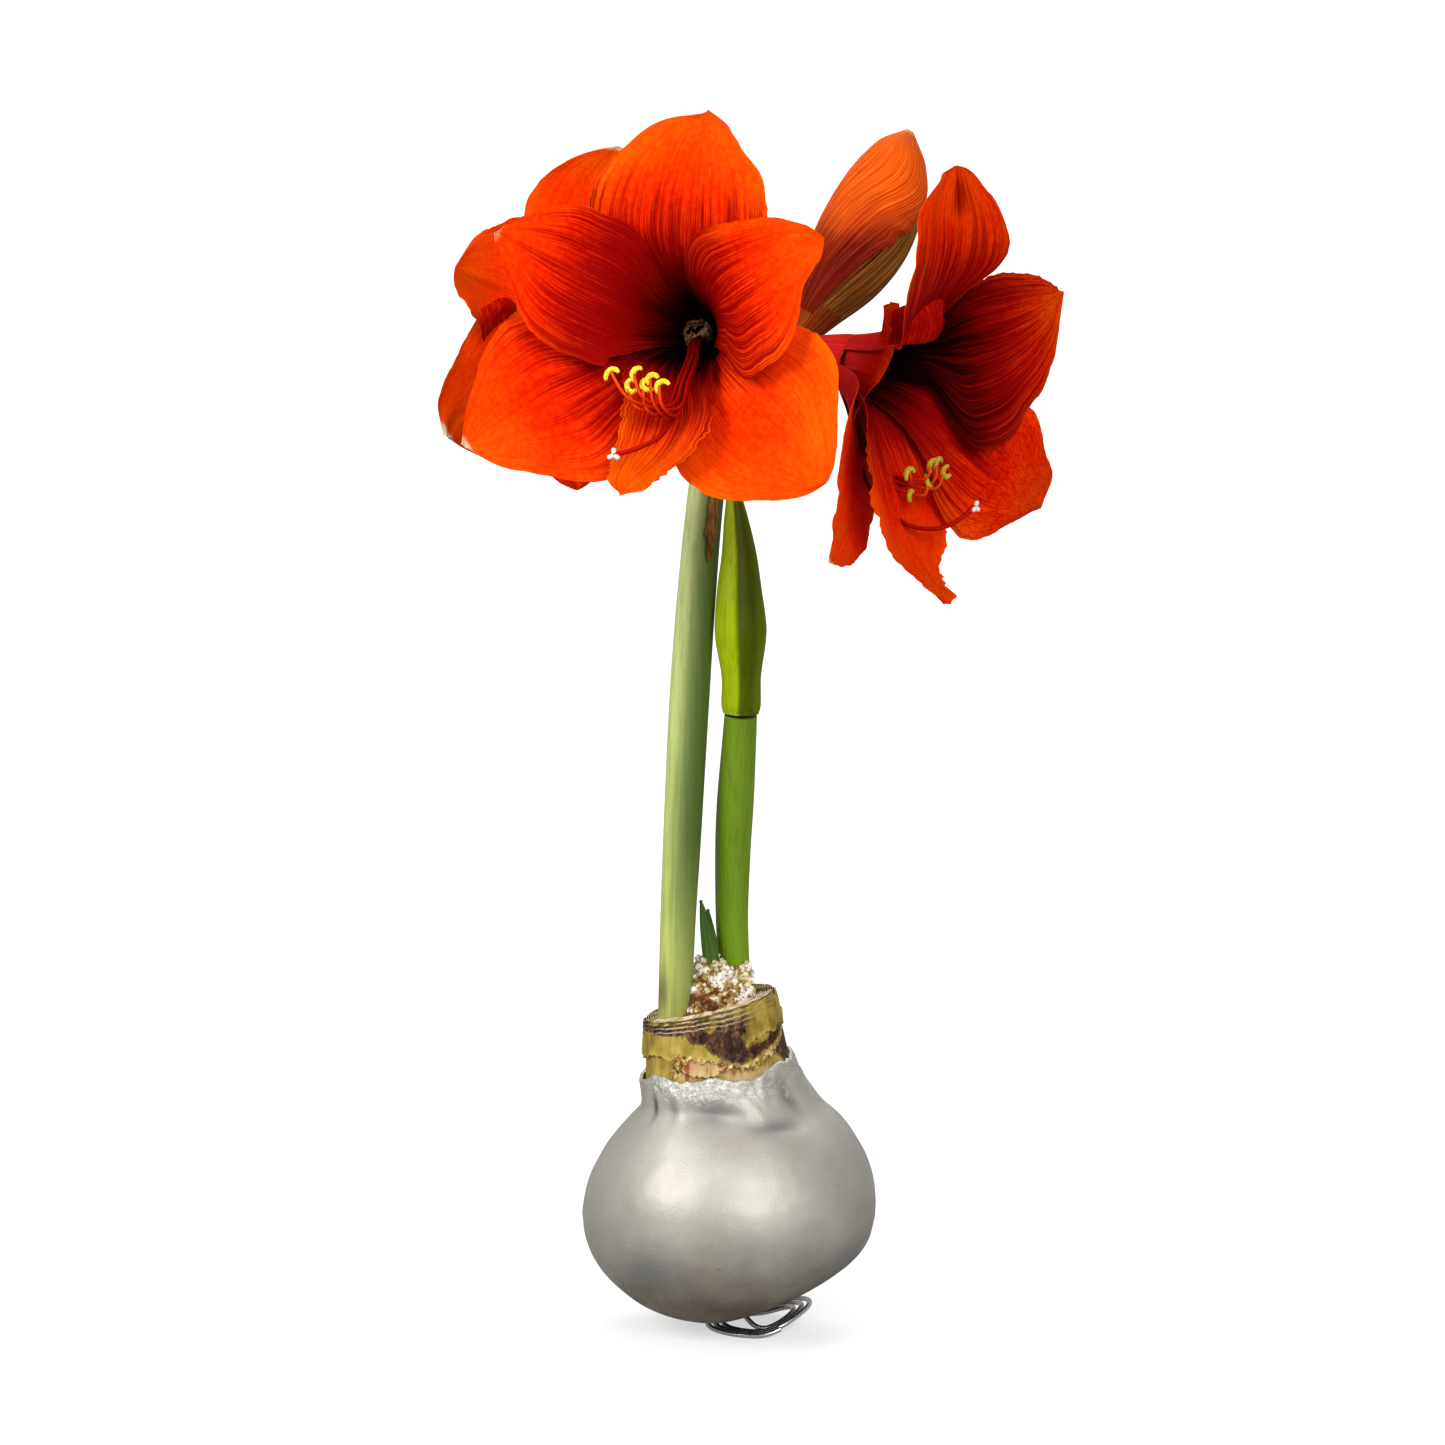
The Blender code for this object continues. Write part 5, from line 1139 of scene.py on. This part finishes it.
def bloomAxes(heading, lift):
    turn, tilt = math.radians(heading), math.radians(lift)
    forward = Vector((math.cos(turn) * math.cos(tilt), math.sin(turn) * math.cos(tilt), math.sin(tilt)))
    right = Vector((0, 0, 1)).cross(forward).normalized()
    return right, forward.cross(right), forward


def bloomFrame(bloom):  # turns a bloom's own millimetres into the object's metres
    right, up, forward = bloomAxes(bloom["heading"], bloom["lift"])
    turn = Matrix((right, up, forward)).transposed().to_4x4()
    return Matrix.Translation(Vector(bloom["base"]) * mm) @ turn @ Matrix.Scale(mm, 4)


def makeStalks():
    shape = Shape()

    def addStalk(base, forward):
        end = base - forward * 0.3 * mm
        root = end - forward * stalk["length"] * mm
        start = Vector(umbel["middle"]) * mm
        start += (root - start).normalized() * 1.5 * mm
        lead = (root - start).length * 0.45
        above = start + Vector((0, 0, 0.5)) * lead + (root - start) * 0.2
        path = [bezier(start, above, root - forward * lead, root, s) for s in even(24)]
        radii = [stalk["radius"] * mm * (1 + 0.05 * ease(0.8, 1, s)) for s in even(24)]
        swell = [(0.0, stalk["radius"] / stalk["ovary"])] + stalk["profile"]
        for s in even(14)[1:]:
            path.append(mix(root, end, s))
            radii.append(stalk["ovary"] * through(swell, s) * mm)

        def lobes(r, angle):  # the ovary has three rounded sides
            return 1 + 0.045 * math.cos(3 * angle + 0.5) * ease(24, 30, r)

        def facts(r, k):
            return {"along": r / (len(path) - 1), "dusk": 0.0, "smudge": 0.0}
        shape.addTube(path, radii, 24, facts, lobes)
    for bloom in blooms.values():
        addStalk(Vector(bloom["base"]) * mm, bloomAxes(bloom["heading"], bloom["lift"])[2])
    budBase, budTip = Vector(openingBud["base"]) * mm, Vector(openingBud["tip"]) * mm
    addStalk(budBase, (budTip - budBase).normalized())
    middle = Vector(umbel["middle"])
    knob = []
    for radius, height in umbel["profile"]:
        knob.append([middle + spoke(a, height, radius) for a in around(32)])
    # a little painted shade on the knob under the blooms
    shape.addRings(metres(knob), lambda r, k: {"along": 0.3, "dusk": 0.3, "smudge": 0.0})
    shape.piece("flower_stalks", finishes["stalk"], "pale_green", "flower_stem")


# Bracts that hang dry under the umbel

bracts = dict(top=333.0, length=55.0, width=5.0,
              outline=[(0.0, 1.0), (0.3, 0.65), (0.6, 0.5), (0.8, 0.62), (1.0, 0.1)],
              sides={"front": -68, "back": 86})


def makeBract(name, side):
    def surface(t, v):
        z = bracts["top"] - bracts["length"] * t
        middle, radius = stationAt(tallScape, z)
        width = bracts["width"] * through(bracts["outline"], t) * (1 + 0.5 * rough(14 * t, 3 * v, side, 2))
        out = radius + 1.0 + 1.2 * t + 0.35 * rough(4 * v, 6 * t, side)
        angle = math.radians(side) + v * width / 2 / radius + 0.03 * math.sin(9 * t)
        return Vector((middle.x + out * math.cos(angle), middle.y + out * math.sin(angle), z)) * mm

    shape = Shape()
    shape.addSheet(surface, even(60), bothSides(8), lambda t, v: 0.5 * mm,
                   lambda t, v: {"along": t})
    shape.piece("dry_bract_" + name, finishes["bract"], "dried_bract", "bract_" + name)


# Petals

def midrib(petal, t):  # distance from the bloom's axis and height along it
    belly = mix(0.60, 0.33, petal["flare"]) * petal["reach"]
    crest = mix(0.72 * petal["rise"], petal["rise"] + 9, petal["flare"])
    radius = bezier(7.4, 12.4, belly, petal["reach"], t)
    return Vector((radius, bezier(8.0, mix(32, 41, petal["flare"]), crest, petal["rise"], t)))


def halfWidth(petal, t, side):
    widths = petal["left"] if side < 0 else petal["right"]
    tip = petal["blunt"] * widths[-1]
    own = through([(0.0, widths[0]), *zip(rimStations, widths), (1.0, tip)], t)
    return max(own, petal["claw"] * (1.04 - t) / 0.05 if t > 0.97 else 0.2)


def tornEdge(petal, t, v):  # how far the margin stands out or in
    seed = petal["azimuth"] + (40 if v > 0 else -40)
    jag = rough(17 * t, seed, 0, 4) + 0.3 * rough(60 * t, seed, 5, 2)
    size = petal["ragged"] * ease(0.3, 0.6, t) * (1 - ease(0.97, 1.0, t)) * jag * ease(0.7, 1.0, abs(v))
    return math.copysign(size, v)


def petalSway(petal, t):  # how far the middle line lies to the side
    if not petal["sway"]:
        return petal["bend"] * t**3
    points = [(0.0, 0.0), (0.3, 0.25 * petal["sway"][0])] + list(zip((0.5, 0.7, 0.85, 1.0), petal["sway"]))
    return through(points, t)


def crossPlace(curve, half, v, curl):  # sideways and lift on a petal's cross section, whose margins curl
    sideways, lift, steps = 0.0, 0.0, 8
    run = abs(v) * half / steps
    for k in range(steps):
        share = abs(v) * (k + 0.5) / steps
        angle = curve * half * share + curl * max(0.0, 2 * share - 1)**2
        sideways += math.cos(angle) * run
        lift += math.sin(angle) * run
    return math.copysign(sideways, v), lift


def petalSurface(bloom, petal):
    turn = math.radians(petal["azimuth"])
    place = bloomFrame(bloom)

    def surface(t, v):
        here = midrib(petal, t)
        along = (midrib(petal, min(t + 0.01, 1.0)) - midrib(petal, max(t - 0.01, 0.0))).normalized()
        inward = Vector((-along.y, along.x))
        curve = mix(1.0 / here.x, petal["cup"], ease(0.25, 0.7, t))
        free = here.x - (whorlGap if petal["inner"] else 0.0)
        side = 0 if v < 0 else 1
        own = halfWidth(petal, t, 2 * side - 1)
        half = mix(0.94 * free, own, ease(0.34, 0.5, t))
        if t < 0.5:
            half = min(half, 0.98 * free * (1 + petal["skirt"] * ease(0.2, 0.4, t)))
        loose = ease(0.35, 0.7, t)
        sideways, lift = crossPlace(curve, half, v, petal["curl"] * loose)
        sideways += petalSway(petal, t) + tornEdge(petal, t, v)
        lift += (whorlGap * (1 + 0.8 * ease(0.2, 0.7, t))) if petal["inner"] else 0.0
        wave = math.sin(9 * t + 2 * v + petal["azimuth"]) * (1 - 0.5 * t)
        wave += 0.7 * v * v * rough(9 * t, 2 * v + petal["azimuth"], 3, 2)
        lift += petal["ruffle"] * v * v * wave * loose
        lift += 0.55 * v**6 * math.sin(34 * t + 3 * rough(5 * t, petal["azimuth"], side)) * ease(0.5, 0.75, t)
        lift += 0.8 * rough(4 * t, 1.6 * v, petal["azimuth"] + 7, 2) * loose
        lift -= 0.5 * hump(0, 0.07, v) * ease(0.2, 0.5, t) * (1 - ease(0.9, 1.0, t))
        radial, height = here.x + inward.x * lift, here.y + inward.y * lift
        height -= petal["slant"] * t * ease(-0.6, 0.9, v)
        x = radial * math.cos(turn) - sideways * math.sin(turn)
        y = radial * math.sin(turn) + sideways * math.cos(turn)
        return place @ Vector((x, y, height))
    return surface


def petalFacts(petal):
    def facts(t, v):
        far = midrib(petal, t).x
        cloud = 0.12 * rough(5 * t, 3 * v, petal["azimuth"])
        # the black throat and the deep red zone: own colour together with painted shade
        black, red = petal["dark"]
        throat = 1 - ease(black * 0.3, black * 1.7, far * (1 + cloud))
        blush = min(1, max(0, 1.4 - 1.4 * far * (1 + cloud) / red))
        tone = petal["tone"] + 0.1 * rough(2 * t, v, petal["azimuth"] + 5)
        # each patch paints shadow in deep red
        for patch in petal["shadePatches"]:
            blush = max(blush, patch[4] * hump(patch[0], patch[1], v) * hump(patch[2], patch[3], t))
        return {"across": v, "along": t, "throat": throat, "blush": blush, "tone": tone, "net": petal["net"],
                "seed": petal["azimuth"] / 10, "pale": petal["pale"] * ease(0.984, 0.996, t)}
    return facts


def makeFold(shape, place, fold):
    rows = [[Vector(p) for p in row] for row in fold["rows"]]

    def between(a, b, c, s):  # from a through b to c
        return a * (1 - s) * (1 - 2 * s) + b * 4 * s * (1 - s) + c * s * (2 * s - 1)

    def surface(t, v):
        point = between(*(between(*row, (v + 1) / 2) for row in rows), t)
        return place @ (point + Vector((0.3, 0.5, 0.5)) * rough(3 * t, 4 * v, fold["blush"]))

    def facts(t, v):
        # deep red on the folds: own colour together with painted shade
        blush = fold["blush"] + 0.2 * rough(2 * t, 2 * v, 1)
        tone = fold["tone"] + 0.3 * hump(0, 0.12, t)
        return {"across": v, "along": 0.55 + 0.3 * t, "throat": 0.0, "blush": blush, "tone": tone,
                "net": 0.6, "seed": fold["tone"], "pale": 0.0}
    shape.addSheet(surface, even(20), bothSides(12), lambda t, v: 0.4 * mm, facts)


def makeTepals(name, bloom):
    place = bloomFrame(bloom)
    rows, columns = 76, 40
    ts = [1 - (1 - k / rows) ** 1.3 for k in range(rows + 1)]
    vs = [2 * k / columns - 1 for k in range(columns + 1)]
    shape = Shape()
    for petal in bloom["petals"]:
        shape.addSheet(petalSurface(bloom, petal), ts, vs,
                       lambda t, v: mm * mix(0.5, 0.22, max(abs(v)**2, t)), petalFacts(petal))
    for fold in folds.get(name, []):
        makeFold(shape, place, fold)
    rings = []
    for radius, height in tubeProfile:
        ring = []
        for a in around(72):
            far = radius * (1 + 0.035 * math.cos(6 * a))
            ring.append(place @ spoke(a, height, far))
        rings.append(ring)

    def tubeFacts(r, k):
        outside = 1.0 if r < 5 else 0.0
        return {"across": math.sin(math.pi * k / 36), "along": 0.1 + 0.02 * r, "throat": 1.0 - outside,
                "blush": 0.6, "tone": 0.0, "net": 0.0, "seed": 1.0, "pale": 0.0, "outside": outside}
    shape.addRings(rings, tubeFacts)
    shape.piece(name + "_tepals", finishes["petal"], "petal_red", name + "_perianth")


# Fringe of scales in the throat

fringe = dict(count=34, radius=4.8, height=22.0, length=6.2, width=1.3, lean=0.8, seed=4)


def fringeTree():
    tree = Grower("fringe round a throat", "Radius Length Width Lean", "Count Seed")
    inputs = {"Curve": tree.ring("Count"), "Count": tree.given("Count")}
    points = tree.add("GeometryNodeCurveToPoints", inputs, mode="COUNT")
    inputs = {"Vertices": 7, "Side Segments": 5, "Radius Top": 0.12, "Radius Bottom": tree.given("Width"),
              "Depth": tree.given("Length")}
    scale = tree.add("GeometryNodeMeshCone", inputs)
    flat = tree.add("GeometryNodeTransform", {"Geometry": scale, "Scale": (0.35, 1.0, 1.0)})
    place = tree.add("GeometryNodeInputPosition")
    lean = tree.add("ShaderNodeMath", {0: tree.given("Lean"), 1: -0.2}, operation="MULTIPLY")
    inward = tree.add("ShaderNodeVectorMath", {0: place, "Scale": lean}, operation="SCALE")
    stray = tree.pick((-0.7, -0.7, 0.7), (0.7, 0.7, 1.2), tree.given("Seed"))
    aim = tree.add("ShaderNodeVectorMath", {0: inward, 1: stray}, operation="ADD")
    upright = tree.add("FunctionNodeAlignRotationToVector", {"Vector": aim}, axis="Z")
    inputs = {"Rotation": upright, "Vector": place}
    turned = tree.add("FunctionNodeAlignRotationToVector", inputs, axis="X", pivot_axis="Z")
    size = tree.pick(0.6, 1.25, tree.given("Seed"))
    inputs = {"Points": points, "Instance": flat, "Rotation": turned, "Scale": size}
    tree.close(tree.rumple(tree.add("GeometryNodeInstanceOnPoints", inputs), 0.9, 1.6))
    return tree


def makeFringe(name, bloom, tree):
    sizes = {key.title(): fringe[key] for key in ("count", "radius", "length", "width", "lean")}
    obj = tree.grow(name + "_fringe", [(0, 0, 0)], Seed=fringe["seed"] + len(name),
                    Material=finishes["fringe"], **sizes)
    obj.data.transform(bloomFrame(bloom) @ Matrix.Translation((0, 0, fringe["height"])))
    settle(obj, "dried_bract", name + "_perianth")


# Stamens and pistil

threads = dict(radius=0.78, spread=1.5, style=0.8)
anther = dict(curl=2.0, span=215, radius=0.92, seed=3)
pollen = dict(spacing=0.28, grain=0.17, seed=2)
stigma = dict(places=(-0.4, 0.3, 0.9, 1.5, 2.0, 2.4, 2.6), radii=(0.5, 0.66, 0.78, 0.86, 0.84, 0.62, 0.3))


def curveThrough(points, steps):  # smooth path through the points, evenly split between them
    points = [Vector(p) for p in points]
    path = []
    for i in range(len(points) - 1):
        a, b = points[i], points[i + 1]
        before, after = points[max(i - 1, 0)], points[min(i + 2, len(points) - 1)]
        for k in range(steps):
            s = k / steps
            path.append(0.5 * ((2 * a) + (b - before) * s + (2 * before - 5 * a + 4 * b - after) * s * s
                               + (3 * a - before - 3 * b + after) * s**3))
    return path + [points[-1]]


def makeStamens(name, bloom, pollenTree):
    place = bloomFrame(bloom)
    red, yellow = Shape(), Shape()
    draw = random.Random(anther["seed"] + len(name))
    bundle = [Vector(p) for p in bloom["bundle"]]
    onward = (bundle[-1] - bundle[-2]).normalized()
    for number, target in enumerate(bloom["anthers"]):
        angle = 2 * math.pi * (number + 0.5) / len(bloom["anthers"])
        shift = spoke(angle) * threads["spread"]
        end = Vector(target)
        loop = bundle[-1] + shift * 1.6 + onward * (2.5 + 0.8 * number % 3)
        turn = mix(loop, end, 0.55) + (end - bundle[-1]).length * 0.22 * (onward + Vector((0, 0, 0.6)))
        points = [Vector((shift.x * 1.3, shift.y * 1.3, 10.5))]
        points += [p + shift * (1 + 0.15 * k) for k, p in enumerate(bundle)]
        line = curveThrough(points + [turn, end], 8)
        last = len(line) - 1
        radii = [threads["radius"] * mm * (1 - 0.4 * k / last) for k in range(last + 1)]
        red.addTube([place @ p for p in line], radii, 10, lambda r, k: {"along": r / last})
        first = Vector((draw.uniform(-1, 1), draw.uniform(-1, 1), draw.uniform(-0.4, 0.4))).normalized()
        second = first.cross(Vector((draw.uniform(-0.3, 0.3), draw.uniform(-0.3, 0.3), 1))).normalized()
        half = math.radians(anther["span"]) / 2 * draw.uniform(0.75, 1.1)
        curl = anther["curl"] * draw.uniform(0.85, 1.2)
        arc = []
        for s in even(24):
            turned = mix(-half, half, s)
            arc.append(place @ (end + first * curl * (math.cos(turned) - 1)
                                + second * curl * math.sin(turned)))
        swell = [math.sin(math.pi * mix(0.06, 0.94, s)) ** 0.6 for s in even(24)]
        radii = [anther["radius"] * mm * (0.35 + 0.65 * s) for s in swell]
        yellow.addTube(arc, radii, 14, None, lambda r, a: 1 - 0.25 * hump(0, 0.5, (a - math.pi)))
    red.piece(name + "_filaments", finishes["thread"], "filament_red", name + "_stamens")
    obj = pollenTree.grow(name + "_anthers", yellow.points, (), yellow.faces, Spacing=pollen["spacing"] * mm,
                          Grain=pollen["grain"] * mm, Seed=pollen["seed"], Material=finishes["pollen"])
    column = obj.data.attributes.new("olive", "FLOAT", "POINT")
    column.data.foreach_set("value", [bloom["olive"]] * len(obj.data.vertices))
    settle(obj, "filament_red", name + "_stamens")


def pollenGrower():
    tree = Grower("pollen on anthers", "Spacing Grain", "Seed")
    ground = tree.given("Geometry")
    grain = tree.add("GeometryNodeMeshIcoSphere", {"Radius": tree.given("Grain"), "Subdivisions": 1})
    inputs = {"Points": tree.scatter(ground, 9e6), "Instance": grain, "Scale": tree.pick(0.5, 1.2, 5)}
    tree.close(tree.join(ground, tree.add("GeometryNodeInstanceOnPoints", inputs)))
    return tree


def makePistil(name, bloom):
    place = bloomFrame(bloom)
    line = curveThrough([(0, -2.45, 9.8)] + bloom["style"], 9)
    last = len(line) - 1
    style = Shape()
    radii = [threads["style"] * mm * (1 + 0.25 * ease(0.9, 1, s)) for s in even(last)]
    style.addTube([place @ p for p in line], radii, 12, lambda r, k: {"along": 0.25 + 0.5 * r / last})
    style.piece(name + "_style", finishes["thread"], "pistil_pink", name + "_pistil")
    lobes = Shape()
    for k in range(3):
        out = spoke(math.radians(120 * k + 90), 0.5).normalized()
        path = [place @ (line[-1] + out * s + Vector((0, 0, -0.12)) * s * s) for s in stigma["places"]]
        lobes.addTube(path, [r * mm for r in stigma["radii"]], 12)
    lobes.piece(name + "_stigma", finishes["stigma"], "pistil_pink", name + "_pistil")


# Opening bud

budPetals = [   # each runs between two angles, which change along the bud
    dict(low=[(0.0, 275), (1.0, 330)], high=[(0.0, 420), (1.0, 420)],
         out=0.4, tip=0.2, bronze=0.2, blush=0.6),
    dict(low=[(0.0, 120), (0.6, 175), (1.0, 190)], high=[(0.0, 345), (0.7, 330), (1.0, 290)],
         out=0.9, tip=-0.4, bronze=1.0, blush=0.0),
    dict(low=[(0.0, 25), (0.8, 40), (1.0, 60)],
         high=[(0.0, 150), (0.3, 168), (0.6, 205), (0.82, 262), (1.0, 235)],
         out=1.7, tip=0.5, bronze=0.0, blush=0.9),
]


def makeOpeningBud():
    base, tip = Vector(openingBud["base"]), Vector(openingBud["tip"])
    forward = (tip - base).normalized()
    length = (tip - base).length
    right = Vector((0, 0, 1)).cross(forward).normalized()
    up = forward.cross(right)

    def place(angle, radius, along):
        share = along / length
        middle = base + forward * along + Vector(openingBud["bow"]) * 4 * share * (1 - share)
        return (middle + (right * math.cos(angle) + up * math.sin(angle)) * radius) * mm

    shape = Shape()
    rings = []
    shares = [0.94 * s for s in even(40)]
    for share in shares:
        radius = max(openingBud["radius"] * through(openingBud["profile"], share) - 0.6, 1.2)
        radius = mix(openingBud["root"], radius, ease(0.0, 0.08, share))
        rings.append([place(a, radius, length * share) for a in around(36)])

    def coreFacts(r, k):
        # the core shows bronze with painted shade between the tepals
        return {"across": math.sin(math.pi * k / 18), "along": shares[r], "bronze": 0.7, "blush": 0.5}
    shape.addRings(rings, coreFacts)
    for number, fold in enumerate(budPetals):
        def surface(t, v):
            radius = openingBud["radius"] * through(openingBud["profile"], t)
            radius += (fold["out"] * ease(0.0, 0.3, t) * (1 - ease(0.9, 1.0, t))
                       + fold["tip"] * ease(0.6, 1.0, t))
            radius += 0.5 * v * v * rough(8 * t, 2 * v, number) * ease(0.2, 0.5, t)
            low, high = through(fold["low"], t), through(fold["high"], t)
            ragged = 14 * rough(13 * t, number, 2, 4) * ease(0.4, 0.6, t) * ease(0.7, 1.0, v)
            angle = math.radians(mix(low, high, (v + 1) / 2) + ragged)
            return place(angle, max(radius, 0.3), length * (0.06 + 0.94 * t))

        def facts(t, v):
            blush = fold["blush"] * (1 - ease(0.25, 0.72, t + 0.12 * rough(4 * t, 2 * v, 3) - 0.16 * v))
            return {"across": v, "along": t, "bronze": fold["bronze"], "blush": blush}
        shape.addSheet(surface, even(80), bothSides(20), lambda t, v: 0.5 * mm, facts)
    shape.piece("half_open_bud", finishes["bud"], "bud_bronze", "opening_bud")


# Everything

print("bulb, wax and wire")
makeWire()
makeWax()
makeNeck()
makeSkin()
makeCrust()
for leafName, leafShape in leaves.items():
    makeLeaf(leafName, leafShape)

print("stems")
# painted shade on the right side of the tall scape
makeStem("tall_scape", tallScape, "pale", "pale_green", "flower_stem", 220, 40,
         paint=lambda t, a: {"dusk": (0.35 + 0.55 * ease(0.08, 0.35, t)) * ease(-0.8, 0.5, math.cos(a - 0.2)),
                             "smudge": 0.75 * ease(0.6, 0.95, -math.cos(a + 0.35)) * hump(0.085, 0.035, t)})
# painted shade on the left side of the short scape near its foot
makeStem("short_scape", shortScape, "bright", "bright_green", "bud_stem", 150, 36,
         paint=lambda t, a: {"dusk": 0.7 * ease(-0.2, 1.0, -math.cos(a)) * (1 - ease(0.05, 0.25, t))})
# painted shade on the right face of the closed bud
makeStem("green_bud", closedBud, "bud green", "bright_green", "closed_bud", 150, 72,
         shape=lambda t, a: 1.0 + 0.03 * math.cos(2 * a) + 0.06 * hump(1.78, 0.35, a) * (1 - t),
         paint=lambda t, a: {"dusk": (0.85 + 0.1 * t) * ease(-0.24, -0.02, math.cos(a))
                             - 0.2 * ease(0.5, 0.9, math.cos(a))})
makeStalks()
for side, degrees in bracts["sides"].items():
    makeBract(side, degrees)

print("blooms")
fringeMaker, pollenMaker = fringeTree(), pollenGrower()
for bloomName, bloomShape in blooms.items():
    makeTepals(bloomName, bloomShape)
    makeFringe(bloomName, bloomShape, fringeMaker)
    makeStamens(bloomName, bloomShape, pollenMaker)
    makePistil(bloomName, bloomShape)
makeOpeningBud()


# Floor, light and camera

print("studio")
studio = dict(target=(-9.76, 0.0, 219.46), distance=1600, down=7, sensor=36, imageWidth=1445, perPixel=0.355,
              floor=6000, floorGlow=0.3, skyGlow=0.42, aim=(0, 0, 0.22))
lights = [   # place, size and power
    ("key", (-1.4, -1.1, 1.25), 1.1, 24),
    ("fill", (0.6, -1.65, 1.0), 0.9, 17),
    ("rim", (0.4, 1.3, 1.4), 0.9, 12),
]


def makeFloor():
    mesh = bpy.data.meshes.new("floor")
    edge = studio["floor"] * mm
    corners = [(-edge, -edge, 0), (edge, -edge, 0), (edge, edge, 0), (-edge, edge, 0)]
    mesh.from_pydata(corners, [], [(0, 1, 2, 3)])
    floor = newObject("floor", mesh)
    f = Finish("pale floor", Base_Color=(0.93, 0.93, 0.93, 1.0), Roughness=0.7)
    far = f.add("ShaderNodeVectorMath", {0: f.place}, "Value", operation="LENGTH")
    inputs = {"Color": (1, 1, 1, 1), "Strength": cameraShare(f.tree, studio["floorGlow"])}
    glow = f.add("ShaderNodeEmission", inputs)
    share = f.plus(f.times(f.soft(0.03, 0.35, far), 0.5), 0.5)
    joined = f.add("ShaderNodeMixShader", {0: share, 1: f.shader.outputs[0], 2: glow})
    f.tree.links.new(joined, f.tree.nodes["Material Output"].inputs["Surface"])
    mesh.materials.append(f.material)
    floor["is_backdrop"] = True


def makeLight(name, place, size, power):
    light = bpy.data.lights.new(name, "AREA")
    light.shape = "DISK"
    light.size, light.energy = size, power
    obj = newObject(name, light)
    obj.location = place
    obj.rotation_euler = (Vector(studio["aim"]) - Vector(place)).to_track_quat("-Z", "Y").to_euler()


def makeWorld():
    world = bpy.data.worlds.new("studio")
    world.use_nodes = True
    tree = world.node_tree
    tree.links.new(cameraShare(tree, studio["skyGlow"]), tree.nodes["Background"].inputs["Strength"])
    tree.nodes["Background"].inputs["Color"].default_value = (1, 1, 1, 1)
    bpy.context.scene.world = world


def makeCamera():
    data = bpy.data.cameras.new("camera")
    data.sensor_width = studio["sensor"]
    data.lens = studio["sensor"] * studio["distance"] / (studio["imageWidth"] * studio["perPixel"])
    data.clip_start, data.clip_end = 0.05, 50
    camera = newObject("camera", data)
    down = math.radians(studio["down"])
    back = Vector((0, -math.cos(down), math.sin(down))) * studio["distance"]
    camera.location = (Vector(studio["target"]) + back) * mm
    camera.rotation_euler = (math.pi / 2 - down, 0, 0)
    bpy.context.scene.camera = camera


makeFloor()
makeWorld()
for light in lights:
    makeLight(*light)
makeCamera()
bpy.context.scene.view_settings.view_transform = "Standard"
bpy.context.scene.view_settings.look = "Medium High Contrast"

bpy.context.view_layer.update()
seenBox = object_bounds()
print("sizes", [[round(1000 * x, 1) for x in corner] for corner in (*cadBox, *seenBox)])
